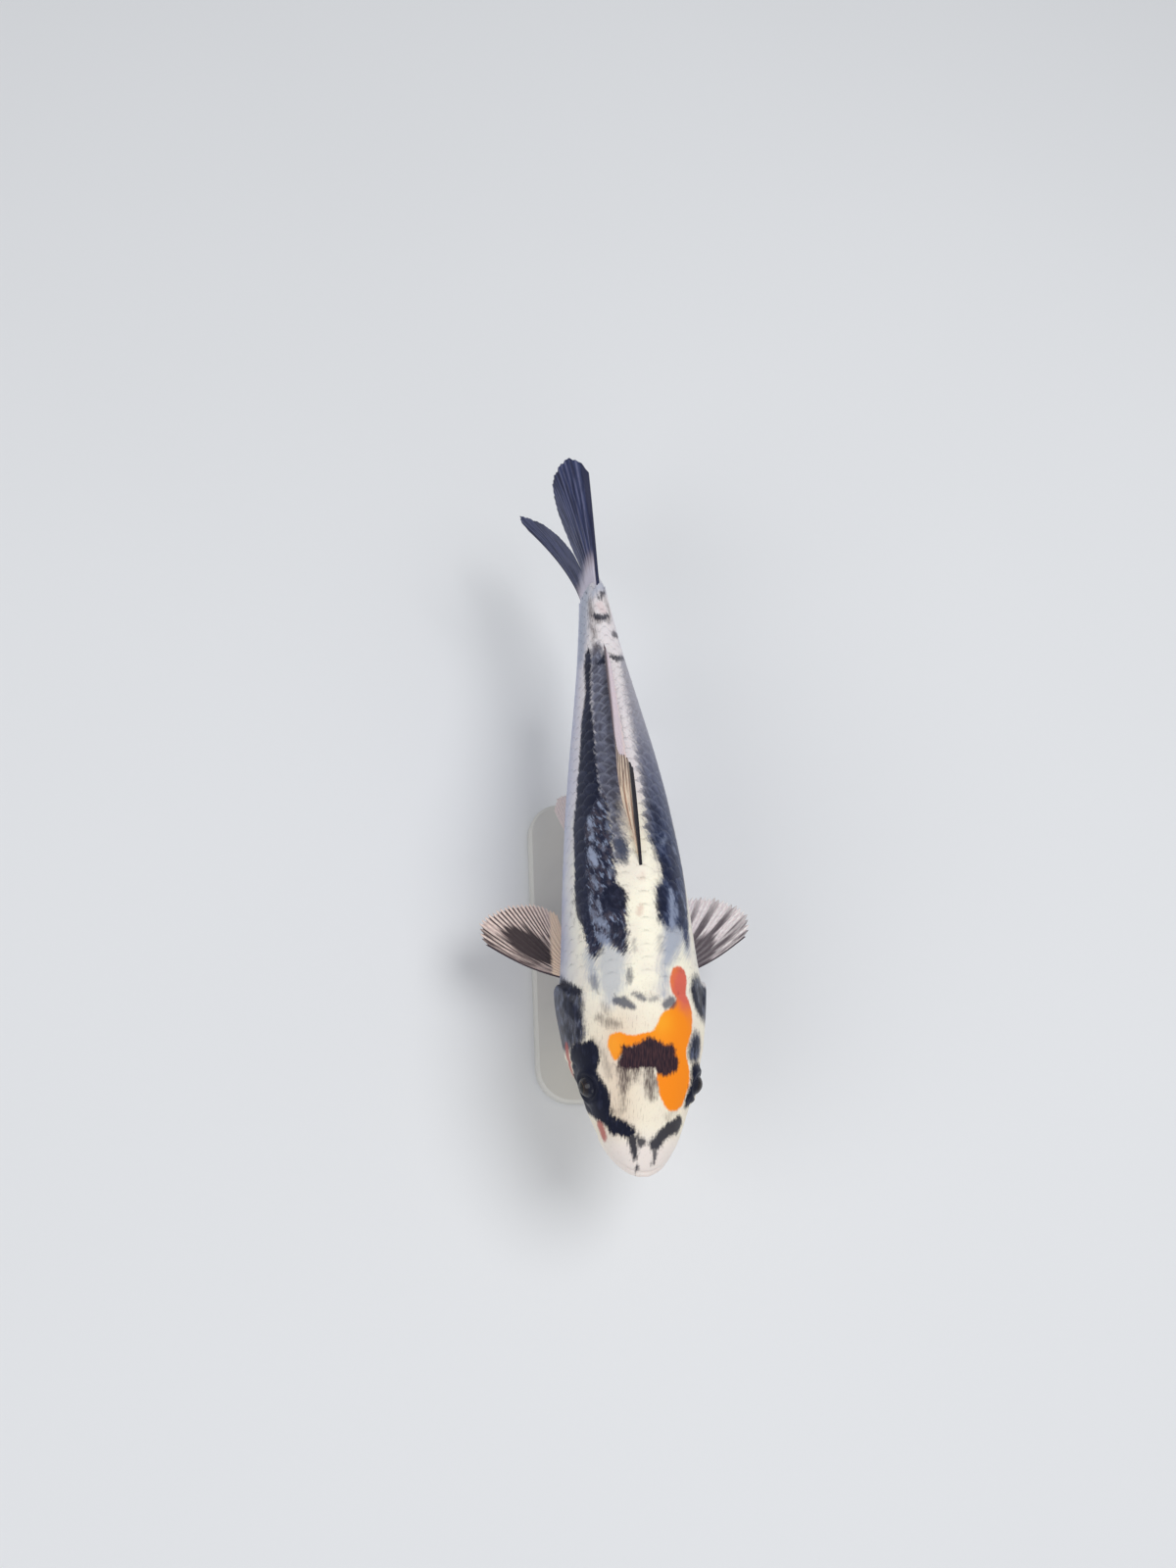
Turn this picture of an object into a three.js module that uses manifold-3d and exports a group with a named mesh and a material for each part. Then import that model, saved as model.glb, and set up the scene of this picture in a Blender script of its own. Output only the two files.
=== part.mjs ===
// A young koi carp at life size, swimming level above a plain display stand.
// Millimetres, +Z up. The head points along -Y, the fish's left side is +X, and the origin is the
// middle of the underside of the stand. Most sizes are shares of BODY_LENGTH, so one number sets the scale.
import * as THREE from "three";
import { LoftGeometry } from "three/addons/geometries/LoftGeometry.js";
import { mergeVertices } from "three/addons/utils/BufferGeometryUtils.js";
import Module from "manifold-3d";

const wasm = await Module();
wasm.setup();

// ---------------------------------------------------------------- driving dimensions

const BODY_LENGTH = 215; // snout to the root of the tail fin
const AXIS_HEIGHT = 56; // body axis above the floor
const SIDE_BEND = 0.035; // how far the tail root swings to the fish's right, as a share of the length
const BALANCE = 0.42; // station of the body that stands over the middle of the base
const GAP = 0.3; // clearance between neighbouring solids
const DEGREE = Math.PI / 180;

// Body outline at stations from the snout (0) to the root of the tail fin (1), all in shares of the
// length: [station, height of the back, height of the belly, level of the widest point, half width].
const BODY = [
  [-0.006, 0.004, -0.006, 0.0, 0.007],
  [0.0, 0.013, -0.014, 0.0, 0.022],
  [0.01, 0.022, -0.025, -0.001, 0.035],
  [0.035, 0.038, -0.04, -0.004, 0.055],
  [0.08, 0.058, -0.062, -0.01, 0.075],
  [0.13, 0.076, -0.08, -0.014, 0.094],
  [0.2, 0.097, -0.1, -0.016, 0.113],
  [0.27, 0.114, -0.117, -0.014, 0.119],
  [0.33, 0.126, -0.127, -0.01, 0.112],
  [0.4, 0.135, -0.134, -0.006, 0.106],
  [0.48, 0.139, -0.135, -0.002, 0.099],
  [0.58, 0.13, -0.125, 0.0, 0.088],
  [0.68, 0.11, -0.104, 0.001, 0.074],
  [0.78, 0.085, -0.078, 0.001, 0.057],
  [0.88, 0.065, -0.061, 0.0, 0.04],
  [0.96, 0.057, -0.056, 0.0, 0.028],
  [1.0, 0.059, -0.059, 0.0, 0.022],
];
const BODY_RINGS = 42;
const RING_POINTS = 26;

// Where the body is parted, at stations.
const NAPE = 0.262;
const MID_TRUNK = 0.53;
const STALK = 0.8;

const SKIN = 0xe9e2d2;
const INK = 0x2a2d38;
const FIN = 0xcbb6a6;
const TAIL = 0x3c3d55;

// ---------------------------------------------------------------- curves

// A smooth curve through [x, y] knots that never swings past them.
function curveThrough(knots) {
  const last = knots.length - 1;
  const rise = knots.slice(1).map(([x, y], i) => (y - knots[i][1]) / (x - knots[i][0]));
  const slopes = knots.map((_, i) => {
    if (i === 0) return rise[0];
    if (i === last) return rise[last - 1];
    return rise[i - 1] * rise[i] <= 0 ? 0 : (2 * rise[i - 1] * rise[i]) / (rise[i - 1] + rise[i]);
  });
  return (x) => {
    const held = Math.min(Math.max(x, knots[0][0]), knots[last][0]);
    let i = 0;
    while (i < last - 1 && held > knots[i + 1][0]) i += 1;
    const width = knots[i + 1][0] - knots[i][0];
    const s = (held - knots[i][0]) / width;
    const [a, b] = [knots[i][1], knots[i + 1][1]];
    return (
      a * (1 + 2 * s) * (1 - s) ** 2 +
      slopes[i] * width * s * (1 - s) ** 2 +
      b * s * s * (3 - 2 * s) +
      slopes[i + 1] * width * s * s * (s - 1)
    );
  };
}

const column = (n) => curveThrough(BODY.map((row) => [row[0], row[n]]));
const back = column(1);
const belly = column(2);
const widest = column(3);
const halfWidth = column(4);

// A point given in shares of the body length, with y along the straight axis.
const place = (x, y, z) => new THREE.Vector3(x, y, z).multiplyScalar(BODY_LENGTH);

// The bent body axis: sideways shift and heading at a station.
const sway = (station) => -SIDE_BEND * Math.max(station, 0) ** 2;
const heading = (station) => Math.atan(-2 * SIDE_BEND * Math.max(station, 0));

// A point beside the bent axis: `side` to the fish's left and `up`, both in shares of the length.
function beside(station, side, up) {
  const turn = heading(station);
  return place(sway(station) + side * Math.cos(turn), station - side * Math.sin(turn), up);
}

const signedPower = (value, power) => Math.sign(value) * Math.abs(value) ** power;

// A point of the skin. Angle 0 is the back, 90 degrees the left side and 180 the belly.
// `grow` lifts it off the skin, in millimetres. Sections are squarer across the head.
function skinPoint(station, angle, grow = 0) {
  const squareness = 2 / (2 + 0.35 * Math.exp(-(((station - 0.12) / 0.12) ** 2)));
  const more = grow / BODY_LENGTH;
  const level = widest(station);
  const reach = Math.cos(angle) >= 0 ? back(station) - level : level - belly(station);
  return beside(
    station,
    (halfWidth(station) + more) * signedPower(Math.sin(angle), squareness),
    level + (reach + more) * signedPower(Math.cos(angle), squareness),
  );
}

// ---------------------------------------------------------------- solids

// A manifold-3d solid from a closed three.js geometry.
function solidOf(geometry) {
  const bare = new THREE.BufferGeometry();
  bare.setAttribute("position", geometry.getAttribute("position"));
  bare.setIndex(geometry.index);
  const merged = mergeVertices(bare, 1e-4);
  const corners = merged.index.array;
  const triangles = [];
  for (let i = 0; i < corners.length; i += 3) {
    const [a, b, c] = corners.slice(i, i + 3);
    if (a !== b && b !== c && c !== a) triangles.push(a, b, c);
  }
  const make = (order) =>
    new wasm.Manifold(
      new wasm.Mesh({
        numProp: 3,
        vertProperties: new Float32Array(merged.attributes.position.array),
        triVerts: new Uint32Array(order),
      }),
    );
  const made = make(triangles);
  return made.volume() > 0 ? made : make(triangles.reverse());
}

function geometryOf(solid) {
  const mesh = solid.getMesh();
  const geometry = new THREE.BufferGeometry();
  geometry.setAttribute("position", new THREE.BufferAttribute(mesh.vertProperties.slice(), 3));
  geometry.setIndex(new THREE.BufferAttribute(mesh.triVerts.slice(), 1));
  geometry.computeVertexNormals();
  return geometry;
}

const steps = (count) => Array.from({ length: count + 1 }, (_, i) => i / count);

// Skins a row of closed rings, which may run either way round, into a solid.
function loft(rings) {
  const sumOf = (ring) => ring.reduce((sum, p) => sum.add(p), new THREE.Vector3());
  const middle = (ring) => sumOf(ring).divideScalar(ring.length);
  const area = rings[0].reduce(
    (sum, p, i) => sum.add(p.clone().cross(rings[0][(i + 1) % rings[0].length])),
    new THREE.Vector3(),
  );
  const onward = middle(rings[1]).sub(middle(rings[0]));
  const turned = area.dot(onward) < 0 ? rings.map((ring) => [...ring].reverse()) : rings;
  return solidOf(new LoftGeometry(turned, { capStart: true, capEnd: true }));
}

// The whole body, or the whole body with its skin lifted by grow(station) millimetres.
function bodySolid(grow = () => 0) {
  const first = BODY[0][0] - grow(0) / BODY_LENGTH;
  const end = BODY[BODY.length - 1][0] + grow(1) / BODY_LENGTH;
  // Rings crowd towards the snout, where the outline turns fastest.
  const stations = steps(BODY_RINGS).map((s) => first + (end - first) * s ** 1.35);
  return loft(
    stations.map((station) =>
      steps(RING_POINTS)
        .slice(0, -1)
        .map((s) => skinPoint(station, 2 * Math.PI * s, grow(station))),
    ),
  );
}

// A prism across the fish between two sideways limits. Its outline is seen from the side:
// [distance back, height] in millimetres.
function prismAcross(outline, from, to) {
  const shape = new THREE.Shape(outline.map(([y, z]) => new THREE.Vector2(y, z)));
  const prism = new THREE.ExtrudeGeometry(shape, { depth: to - from, bevelEnabled: false });
  const turn = new THREE.Matrix4().makeBasis(
    new THREE.Vector3(0, 1, 0),
    new THREE.Vector3(0, 0, 1),
    new THREE.Vector3(1, 0, 0),
  );
  return solidOf(prism.translate(0, 0, from).applyMatrix4(turn));
}

// A thin closed plate over surface(u, v), with u across the rays and v from root to edge.
function plate(surface, thickness, acrossSteps, alongSteps) {
  const normalAt = (u, v) => {
    const step = 1e-3;
    const across = surface(Math.min(u + step, 1), v).sub(surface(Math.max(u - step, 0), v));
    const along = surface(u, Math.min(v + step, 1)).sub(surface(u, Math.max(v - step, 0)));
    return across.cross(along).normalize();
  };
  return loft(
    steps(acrossSteps).map((u) => {
      const point = (v, sign) => surface(u, v).addScaledVector(normalAt(u, v), (sign * thickness(v)) / 2);
      const side = (sign) => steps(alongSteps).map((v) => point(v, sign));
      return [...side(1), ...side(-1).reverse()];
    }),
  );
}

// A tapered feeler along a curve, from its root radius to its tip radius.
function feeler(curve, rootRadius, tipRadius) {
  const sides = 6;
  return loft(
    steps(6).map((s) => {
      const along = curve.getTangent(s);
      const across = new THREE.Vector3(1, 0, 0).cross(along).normalize();
      const other = along.clone().cross(across);
      const radius = THREE.MathUtils.lerp(rootRadius, tipRadius, s);
      return steps(sides)
        .slice(0, -1)
        .map((a) =>
          curve
            .getPoint(s)
            .addScaledVector(across, radius * Math.cos(2 * Math.PI * a))
            .addScaledVector(other, radius * Math.sin(2 * Math.PI * a)),
        );
    }),
  );
}

// Keeps what lies ahead of, or behind, a cut across the body that leans by `lean` degrees.
function cutAcross(solid, station, lean, keepAhead) {
  const point = beside(station, 0, 0);
  const normal = new THREE.Vector3(0, 1, 0)
    .applyAxisAngle(new THREE.Vector3(1, 0, 0), lean * DEGREE)
    .applyAxisAngle(new THREE.Vector3(0, 0, 1), -heading(station));
  if (keepAhead) normal.negate();
  return solid.trimByPlane(normal.toArray(), point.dot(normal) + GAP / 2);
}

// ---------------------------------------------------------------- head

const EYE = { station: 0.132, up: 0.024, radius: 0.0205, sunk: 0.0075 };

function eyeSolid(side, grow = 0) {
  const surface = skinPoint(EYE.station, side * Math.acos(0.42));
  const centre = beside(EYE.station, side * (Math.abs(surface.x / BODY_LENGTH) - EYE.sunk), EYE.up);
  const ball = new THREE.SphereGeometry(EYE.radius * BODY_LENGTH + grow, 16, 9);
  return solidOf(ball.rotateZ(-side * 90 * DEGREE).translate(...centre.toArray()));
}

// The gill cover is a plate of the cheek, round behind, whose hind edge stands off the shoulder.
// Its outline is seen from the side: [station, height above the axis].
const GILL = {
  outline: [
    [0.182, 0.02],
    [0.222, 0.047],
    [0.268, 0.044],
    [0.298, 0.014],
    [0.3, -0.026],
    [0.276, -0.066],
    [0.232, -0.084],
    [0.19, -0.066],
    [0.176, -0.02],
  ],
  plateDepth: 1.5,
  lift: 0.15,
  flare: 1.2,
};

// One cover, or with room the pocket that leaves a gap all round it.
function gillCoverSolid(side, room = 0) {
  const curve = new THREE.CatmullRomCurve3(
    GILL.outline.map(([station, up]) => place(station, up, 0)),
    true,
  );
  const middle = place(0.24, -0.018, 0);
  const points = curve.getSpacedPoints(22).slice(0, -1);
  const outline = points.map((point) => {
    const outward = point.clone().sub(middle).setLength(room);
    return [point.x + outward.x, point.y + outward.y];
  });
  const reach = 0.2 * BODY_LENGTH;
  const window = side > 0 ? prismAcross(outline, 0, reach) : prismAcross(outline, -reach, 0);
  const [front, hind] = [GILL.outline[0][0], GILL.outline[3][0]];
  const outer = (station) => {
    const along = THREE.MathUtils.clamp((station - front) / (hind - front), 0, 1.1);
    return GILL.lift + GILL.flare * along ** 2 + room;
  };
  const depth = (station) => (GILL.plateDepth + 2 * room) * THREE.MathUtils.smoothstep(station, 0, front);
  const inner = (station) => outer(station) - depth(station);
  return window.intersect(bodySolid(outer)).subtract(bodySolid(inner));
}

// The lower jaw lies under a mouth line that falls from ahead of the snout to the corner of the
// mouth, and ahead of a hinge line that falls steeply from that corner.
const MOUTH = { ahead: [-0.05, 0.0115], corner: [0.062, -0.034], below: [0.12, -0.142] };

// The wedge that holds the jaw, or with room the wedge that leaves a gap above and behind it.
function jawWedge(room = 0) {
  const { ahead, corner, below } = MOUTH;
  const normal = ([y0, z0], [y1, z1]) => new THREE.Vector2(z0 - z1, y1 - y0).normalize();
  const [up, hind] = [normal(ahead, corner), normal(corner, below)];
  const shift = up.clone().add(hind).multiplyScalar(room / (1 + up.dot(hind)));
  const outline = [ahead, [ahead[0], below[1]], below, corner].map(([y, z]) => [
    y * BODY_LENGTH + shift.x,
    z * BODY_LENGTH + shift.y,
  ]);
  const reach = 0.2 * BODY_LENGTH;
  return prismAcross(outline, -reach, reach);
}

// Barbels: a short pair on the upper lip and a longer pair at the corners of the mouth.
const BARBELS = {
  lip_right: [[-0.026, 0.016, -0.017], [-0.029, 0.018, -0.034], [-0.025, 0.036, -0.046]],
  lip_left: [[0.026, 0.016, -0.017], [0.03, 0.016, -0.034], [0.027, 0.03, -0.047]],
  corner_right: [[-0.049, 0.055, -0.03], [-0.058, 0.062, -0.046], [-0.062, 0.084, -0.064]],
  corner_left: [[0.049, 0.055, -0.03], [0.066, 0.058, -0.044], [0.081, 0.072, -0.053]],
};

function barbelSolid(corners) {
  const points = corners.map((corner) => place(...corner));
  return feeler(new THREE.QuadraticBezierCurve3(...points), 0.75, 0.4);
}

// ---------------------------------------------------------------- fins

const finThickness = (root, edge) => (v) => THREE.MathUtils.lerp(root, edge, Math.sqrt(v));

// A fin on the back or belly: rays fold back from a base that follows the body.
// `up` is 1 on the back and -1 on the belly. Ray length, fold angle, sideways lean and billow change
// along it: the half-folded dorsal fin bellies out to the right side.
const DORSAL = {
  up: 1,
  base: [0.47, 0.85],
  rayLength: curveThrough([[0, 0.15], [0.06, 0.146], [0.15, 0.122], [0.3, 0.094], [0.6, 0.06], [1, 0.032]]),
  foldAngle: curveThrough([[0, 20], [0.12, 17], [0.3, 14], [0.6, 11], [1, 10]]),
  lean: curveThrough([[0, -0.014], [0.15, -0.026], [0.4, -0.022], [1, -0.008]]),
  billow: curveThrough([[0, 0.004], [0.06, 0.01], [0.15, 0.02], [0.35, 0.016], [0.7, 0.006], [1, 0.002]]),
};
const ANAL = {
  up: -1,
  base: [0.755, 0.83],
  rayLength: curveThrough([[0, 0.118], [0.15, 0.127], [0.5, 0.1], [1, 0.065]]),
  foldAngle: curveThrough([[0, 52], [1, 34]]),
  lean: curveThrough([[0, -0.008], [1, -0.012]]),
  billow: () => 0,
};
const SUNK = 0.03; // length of each ray below the skin

function midlineFin({ up, base, rayLength, foldAngle, lean, billow }) {
  const edge = up > 0 ? back : belly;
  return (u, v) => {
    const station = THREE.MathUtils.lerp(base[0], base[1], u);
    const slope = Math.atan((edge(station + 0.01) - edge(station - 0.01)) / 0.02);
    const angle = slope + up * foldAngle(u) * DEGREE;
    const along = (rayLength(u) + SUNK) * v - SUNK;
    const bow = up * 0.01 * Math.sin(Math.PI * v);
    return beside(
      station + along * Math.cos(angle),
      lean(u) * v * v - billow(u) * Math.sin(Math.PI * v),
      edge(station) + along * Math.sin(angle) + bow,
    );
  };
}

// The tail fin: two lobes of rays that fan out from the stalk, with a fork between them.
// The upper lobe runs nearly straight, and the lower lobe trails far over to the right side.
const TAIL_FIN = { root: 0.985, rootHalfHeight: 0.05, forkRay: 0.09, slit: 0.015 };
const UPPER_LOBE = {
  up: 1,
  spread: 28,
  longestRay: 0.232,
  fullness: 1.9,
  sweep: 0.088,
  edgeSweep: 0.013,
  curve: [1.6, 1],
};
const LOWER_LOBE = {
  up: -1,
  spread: 18,
  longestRay: 0.236,
  fullness: 1.35,
  sweep: 0.095,
  edgeSweep: 0.103,
  curve: [1.6, 2.1],
};

function tailLobe({ up, spread, longestRay, fullness, sweep, edgeSweep, curve }) {
  return (u, v) => {
    const outward = 1 - (1 - TAIL_FIN.slit) * u;
    const ray = THREE.MathUtils.lerp(TAIL_FIN.forkRay, longestRay, 1 - (1 - outward) ** fullness);
    const rounded = ray * (1 - 0.1 * Math.max(0, (outward - 0.86) / 0.14) ** 2);
    const angle = spread * outward * DEGREE * (1 - 0.18 * v);
    const along = (rounded + 1 - TAIL_FIN.root) * v;
    const swing = THREE.MathUtils.lerp(sweep, edgeSweep, outward ** 3);
    const power = THREE.MathUtils.lerp(curve[0], curve[1], outward);
    const side = -swing * (along / 0.245) ** power + along * Math.tan(heading(1));
    return beside(TAIL_FIN.root, 0, up * TAIL_FIN.rootHalfHeight * outward).add(
      place(side, along * Math.cos(angle), up * along * Math.sin(angle)),
    );
  };
}

// Paired fins: rays fan out in a plane that tilts down from the body. `root` gives station and angle
// round the body. `sweep` turns the first and last ray back from straight out.
const PECTORAL = {
  root: [[0.323, 118], [0.351, 132]],
  rayLength: curveThrough([[0, 0.156], [0.08, 0.174], [0.2, 0.184], [0.5, 0.166], [0.8, 0.134], [1, 0.104]]),
  bow: 0.009,
  droop: 0.012,
};
const PECTORAL_RIGHT = { ...PECTORAL, side: -1, sweep: [28, 76], dip: 14 };
const PECTORAL_LEFT = { ...PECTORAL, side: 1, sweep: [29, 79], dip: -2 };
const PELVIC = {
  root: [[0.545, 143], [0.575, 156]],
  rayLength: curveThrough([[0, 0.115], [0.2, 0.13], [0.5, 0.125], [0.8, 0.105], [1, 0.08]]),
  bow: 0.004,
  droop: 0.004,
  sweep: [68, 97],
  dip: 30,
};
const PELVIC_RIGHT = { ...PELVIC, side: -1 };
const PELVIC_LEFT = { ...PELVIC, side: 1 };

function pairedFin({ side, root, sweep, dip, bow, droop, rayLength }) {
  const tilt = Math.sin(dip * DEGREE);
  return (u, v) => {
    const station = THREE.MathUtils.lerp(root[0][0], root[1][0], u);
    const angle = THREE.MathUtils.lerp(root[0][1], root[1][1], u) * DEGREE;
    const turn = THREE.MathUtils.lerp(sweep[0], sweep[1], u) * DEGREE;
    const length = rayLength(u) * v;
    const [out, back] = [length * Math.cos(turn), length * Math.sin(turn)];
    return skinPoint(station, side * angle, -2.5).add(
      place(
        side * out * Math.cos(dip * DEGREE),
        back - bow * Math.sin(Math.PI * v),
        -tilt * (out + 0.3 * back) - droop * v * v,
      ),
    );
  };
}

// ---------------------------------------------------------------- stand

const BASE = { width: 50, length: 118, height: 6, corner: 12, bevel: 1 };
const ROD = { radius: 2, footRadius: 4.5, footHeight: 3, stations: [0.34, 0.5] };

function baseGeometry() {
  const { width, length, height, corner, bevel } = BASE;
  const [w, l] = [width / 2 - bevel, length / 2 - bevel];
  const shape = new THREE.Shape();
  shape.moveTo(-w + corner, -l);
  shape.absarc(w - corner, -l + corner, corner, -Math.PI / 2, 0);
  shape.absarc(w - corner, l - corner, corner, 0, Math.PI / 2);
  shape.absarc(-w + corner, l - corner, corner, Math.PI / 2, Math.PI);
  shape.absarc(-w + corner, -l + corner, corner, Math.PI, 1.5 * Math.PI);
  return new THREE.ExtrudeGeometry(shape, {
    depth: height - 2 * bevel,
    bevelThickness: bevel,
    bevelSize: bevel,
    bevelSegments: 1,
    curveSegments: 5,
  }).translate(0, 0, bevel);
}

// A rod with a collar at its foot, long enough to reach into the body before it is trimmed.
function rodGeometry() {
  const { radius, footRadius, footHeight } = ROD;
  const profile = [
    [0, 0],
    [footRadius, 0],
    [footRadius, footHeight - 1],
    [footRadius - 1, footHeight],
    [radius, footHeight],
    [radius, AXIS_HEIGHT - BASE.height],
    [0, AXIS_HEIGHT - BASE.height],
  ].map(([x, y]) => new THREE.Vector2(x, y));
  return new THREE.LatheGeometry(profile, 16).rotateX(Math.PI / 2);
}

// ---------------------------------------------------------------- assembly

const koi = new THREE.Group();
koi.name = "koi_carp";
const fish = new THREE.Group();
const balancePoint = beside(BALANCE, 0, 0);
fish.position.set(-balancePoint.x, -balancePoint.y, AXIS_HEIGHT);
koi.add(fish);

function addMesh(group, name, solid, color, roughness = 0.35, metalness = 0) {
  const material = new THREE.MeshStandardMaterial({ color, roughness, metalness });
  const mesh = new THREE.Mesh(geometryOf(solid), material);
  mesh.name = name;
  group.add(mesh);
}

const SIDES = [["right", -1], ["left", 1]];
const body = bodySolid();
const clearOfBody = bodySolid(() => GAP);

// Gill covers and eyes come out of the flesh with a thin gap all round.
let flesh = body;
for (const [label, side] of SIDES) {
  addMesh(fish, `gill_cover_${label}`, gillCoverSolid(side).subtract(eyeSolid(side, GAP)), SKIN);
  addMesh(fish, `eye_${label}`, eyeSolid(side), INK, 0.1);
  flesh = flesh.subtract(gillCoverSolid(side, GAP)).subtract(eyeSolid(side, GAP));
}

const headAndJaw = cutAcross(flesh, NAPE, 12, true);
addMesh(fish, "lower_jaw", headAndJaw.intersect(jawWedge()), SKIN);
addMesh(fish, "head", headAndJaw.subtract(jawWedge(GAP)), SKIN);
const behindHead = cutAcross(flesh, NAPE, 12, false);
addMesh(fish, "trunk_front", cutAcross(behindHead, MID_TRUNK, 0, true), SKIN);
addMesh(fish, "trunk_rear", cutAcross(cutAcross(flesh, MID_TRUNK, 0, false), STALK, 0, true), SKIN);
addMesh(fish, "tail_stalk", cutAcross(flesh, STALK, 0, false), SKIN);

for (const [name, corners] of Object.entries(BARBELS))
  addMesh(fish, `barbel_${name}`, barbelSolid(corners).subtract(clearOfBody), FIN);

const midline = finThickness(1.8, 0.7);
addMesh(fish, "dorsal_fin", plate(midlineFin(DORSAL), midline, 16, 5).subtract(clearOfBody), FIN);
addMesh(fish, "anal_fin", plate(midlineFin(ANAL), midline, 8, 5).subtract(clearOfBody), FIN);

const lobeThickness = finThickness(2.6, 0.7);
const upperLobe = plate(tailLobe(UPPER_LOBE), lobeThickness, 11, 7);
const lowerLobe = plate(tailLobe(LOWER_LOBE), lobeThickness, 11, 7);
addMesh(fish, "tail_fin_upper", upperLobe.subtract(clearOfBody), TAIL);
addMesh(fish, "tail_fin_lower", lowerLobe.subtract(clearOfBody), TAIL);

const PAIRED = {
  pectoral_fin_right: PECTORAL_RIGHT,
  pectoral_fin_left: PECTORAL_LEFT,
  pelvic_fin_right: PELVIC_RIGHT,
  pelvic_fin_left: PELVIC_LEFT,
};
const fleshCutter = SIDES.reduce((all, [, side]) => all.add(gillCoverSolid(side, GAP)), clearOfBody);
for (const [name, fin] of Object.entries(PAIRED))
  addMesh(fish, name, plate(pairedFin(fin), finThickness(1.8, 0.6), 10, 5).subtract(fleshCutter), FIN);

addMesh(koi, "stand_base", solidOf(baseGeometry()), 0xd9d6cf, 0.5);
const placedBody = clearOfBody.translate(fish.position.toArray());
ROD.stations.forEach((station, n) => {
  const foot = beside(station, 0, 0).add(fish.position);
  const rod = solidOf(rodGeometry()).translate([foot.x, foot.y, BASE.height + GAP]);
  addMesh(koi, `stand_rod_${n ? "rear" : "front"}`, rod.subtract(placedBody), 0xb8b8b4, 0.3, 1);
});

export default koi;
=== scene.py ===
"""Dresses a young koi carp on its display stand: skin, scales, rayed fins, eyes, barbels and stage."""

import math

import bpy
import numpy as np
from bpy.props import FloatProperty, FloatVectorProperty, IntProperty, PointerProperty
from mathutils import Matrix, Vector


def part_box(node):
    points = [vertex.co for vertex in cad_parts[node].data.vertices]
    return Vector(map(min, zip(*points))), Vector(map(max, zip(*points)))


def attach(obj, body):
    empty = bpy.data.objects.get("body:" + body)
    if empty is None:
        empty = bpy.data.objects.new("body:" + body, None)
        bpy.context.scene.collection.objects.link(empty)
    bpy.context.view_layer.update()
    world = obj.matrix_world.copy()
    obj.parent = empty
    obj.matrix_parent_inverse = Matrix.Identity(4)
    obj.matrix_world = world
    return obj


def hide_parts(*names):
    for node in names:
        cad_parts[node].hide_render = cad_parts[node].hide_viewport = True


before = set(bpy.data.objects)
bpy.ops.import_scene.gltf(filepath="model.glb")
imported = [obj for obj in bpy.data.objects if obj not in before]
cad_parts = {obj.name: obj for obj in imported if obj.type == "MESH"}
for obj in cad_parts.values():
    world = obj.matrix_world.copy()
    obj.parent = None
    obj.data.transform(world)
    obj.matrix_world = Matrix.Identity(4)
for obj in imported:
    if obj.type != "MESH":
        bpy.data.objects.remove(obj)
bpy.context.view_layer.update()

bl_info = {
    "name": "Koi Carp",
    "version": (1, 0, 0),
    "blender": (4, 5, 0),
    "location": "3D View > Sidebar > Koi",
    "description": "Builds the skin, scales, fins, eyes and studio stage of a young koi carp",
    "category": "Add Mesh",
}

MM = 0.001
FLESH = ("head", "lower_jaw", "gill_cover_right", "gill_cover_left", "trunk_front", "trunk_rear",
         "tail_stalk")

# ---------------------------------------------------------------- the body's own shape

LENGTH = 0.215  # snout to the root of the tail fin, in metres
AXIS_HEIGHT = 0.056  # the body's axis over the floor, in metres
SIDE_BEND = 0.035  # how far the tail root swings to the right of the snout, as a share of the length
BALANCE = 0.42  # the station that stands over the origin
SNOUT, ROOT_END = -0.006, 1.03  # the first and last stations of the flesh

# Station from the snout, height of the back, height of the belly, level of the widest point and
# half width, all as shares of the length.
BODY = (
    (-0.006, 0.004, -0.006, 0.0, 0.007),
    (0.0, 0.013, -0.014, 0.0, 0.022),
    (0.01, 0.022, -0.025, -0.001, 0.035),
    (0.035, 0.038, -0.04, -0.004, 0.055),
    (0.08, 0.058, -0.062, -0.01, 0.075),
    (0.13, 0.076, -0.08, -0.014, 0.094),
    (0.2, 0.097, -0.1, -0.016, 0.113),
    (0.27, 0.114, -0.117, -0.014, 0.119),
    (0.33, 0.126, -0.127, -0.01, 0.112),
    (0.4, 0.135, -0.134, -0.006, 0.106),
    (0.48, 0.139, -0.135, -0.002, 0.099),
    (0.58, 0.13, -0.125, 0.0, 0.088),
    (0.68, 0.11, -0.104, 0.001, 0.074),
    (0.78, 0.085, -0.078, 0.001, 0.057),
    (0.88, 0.065, -0.061, 0.0, 0.04),
    (0.96, 0.057, -0.056, 0.0, 0.028),
    (1.0, 0.059, -0.059, 0.0, 0.022),
)


def curve_through(knots):
    """A smooth curve through [x, y] knots that never swings past them, for arrays of x."""
    x, y = np.asarray(knots, float).T
    rise = np.diff(y) / np.diff(x)
    slope = np.concatenate([rise[:1], np.zeros(len(x) - 2), rise[-1:]])
    same_way = rise[:-1] * rise[1:] > 0
    total = np.where(same_way, rise[:-1] + rise[1:], 1)
    slope[1:-1] = np.where(same_way, 2 * rise[:-1] * rise[1:] / total, 0)

    def value(at):
        at = np.clip(at, x[0], x[-1])
        i = np.clip(np.searchsorted(x, at) - 1, 0, len(x) - 2)
        width = x[i + 1] - x[i]
        s = (at - x[i]) / width
        ends = y[i] * (1 + 2 * s) * (1 - s) ** 2 + y[i + 1] * s * s * (3 - 2 * s)
        return ends + width * s * (1 - s) * (slope[i] * (1 - s) - slope[i + 1] * s)

    return value


BACK, BELLY, WIDEST, HALF_WIDTH = (
    curve_through([(row[0], row[n]) for row in BODY]) for n in (1, 2, 3, 4))


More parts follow.
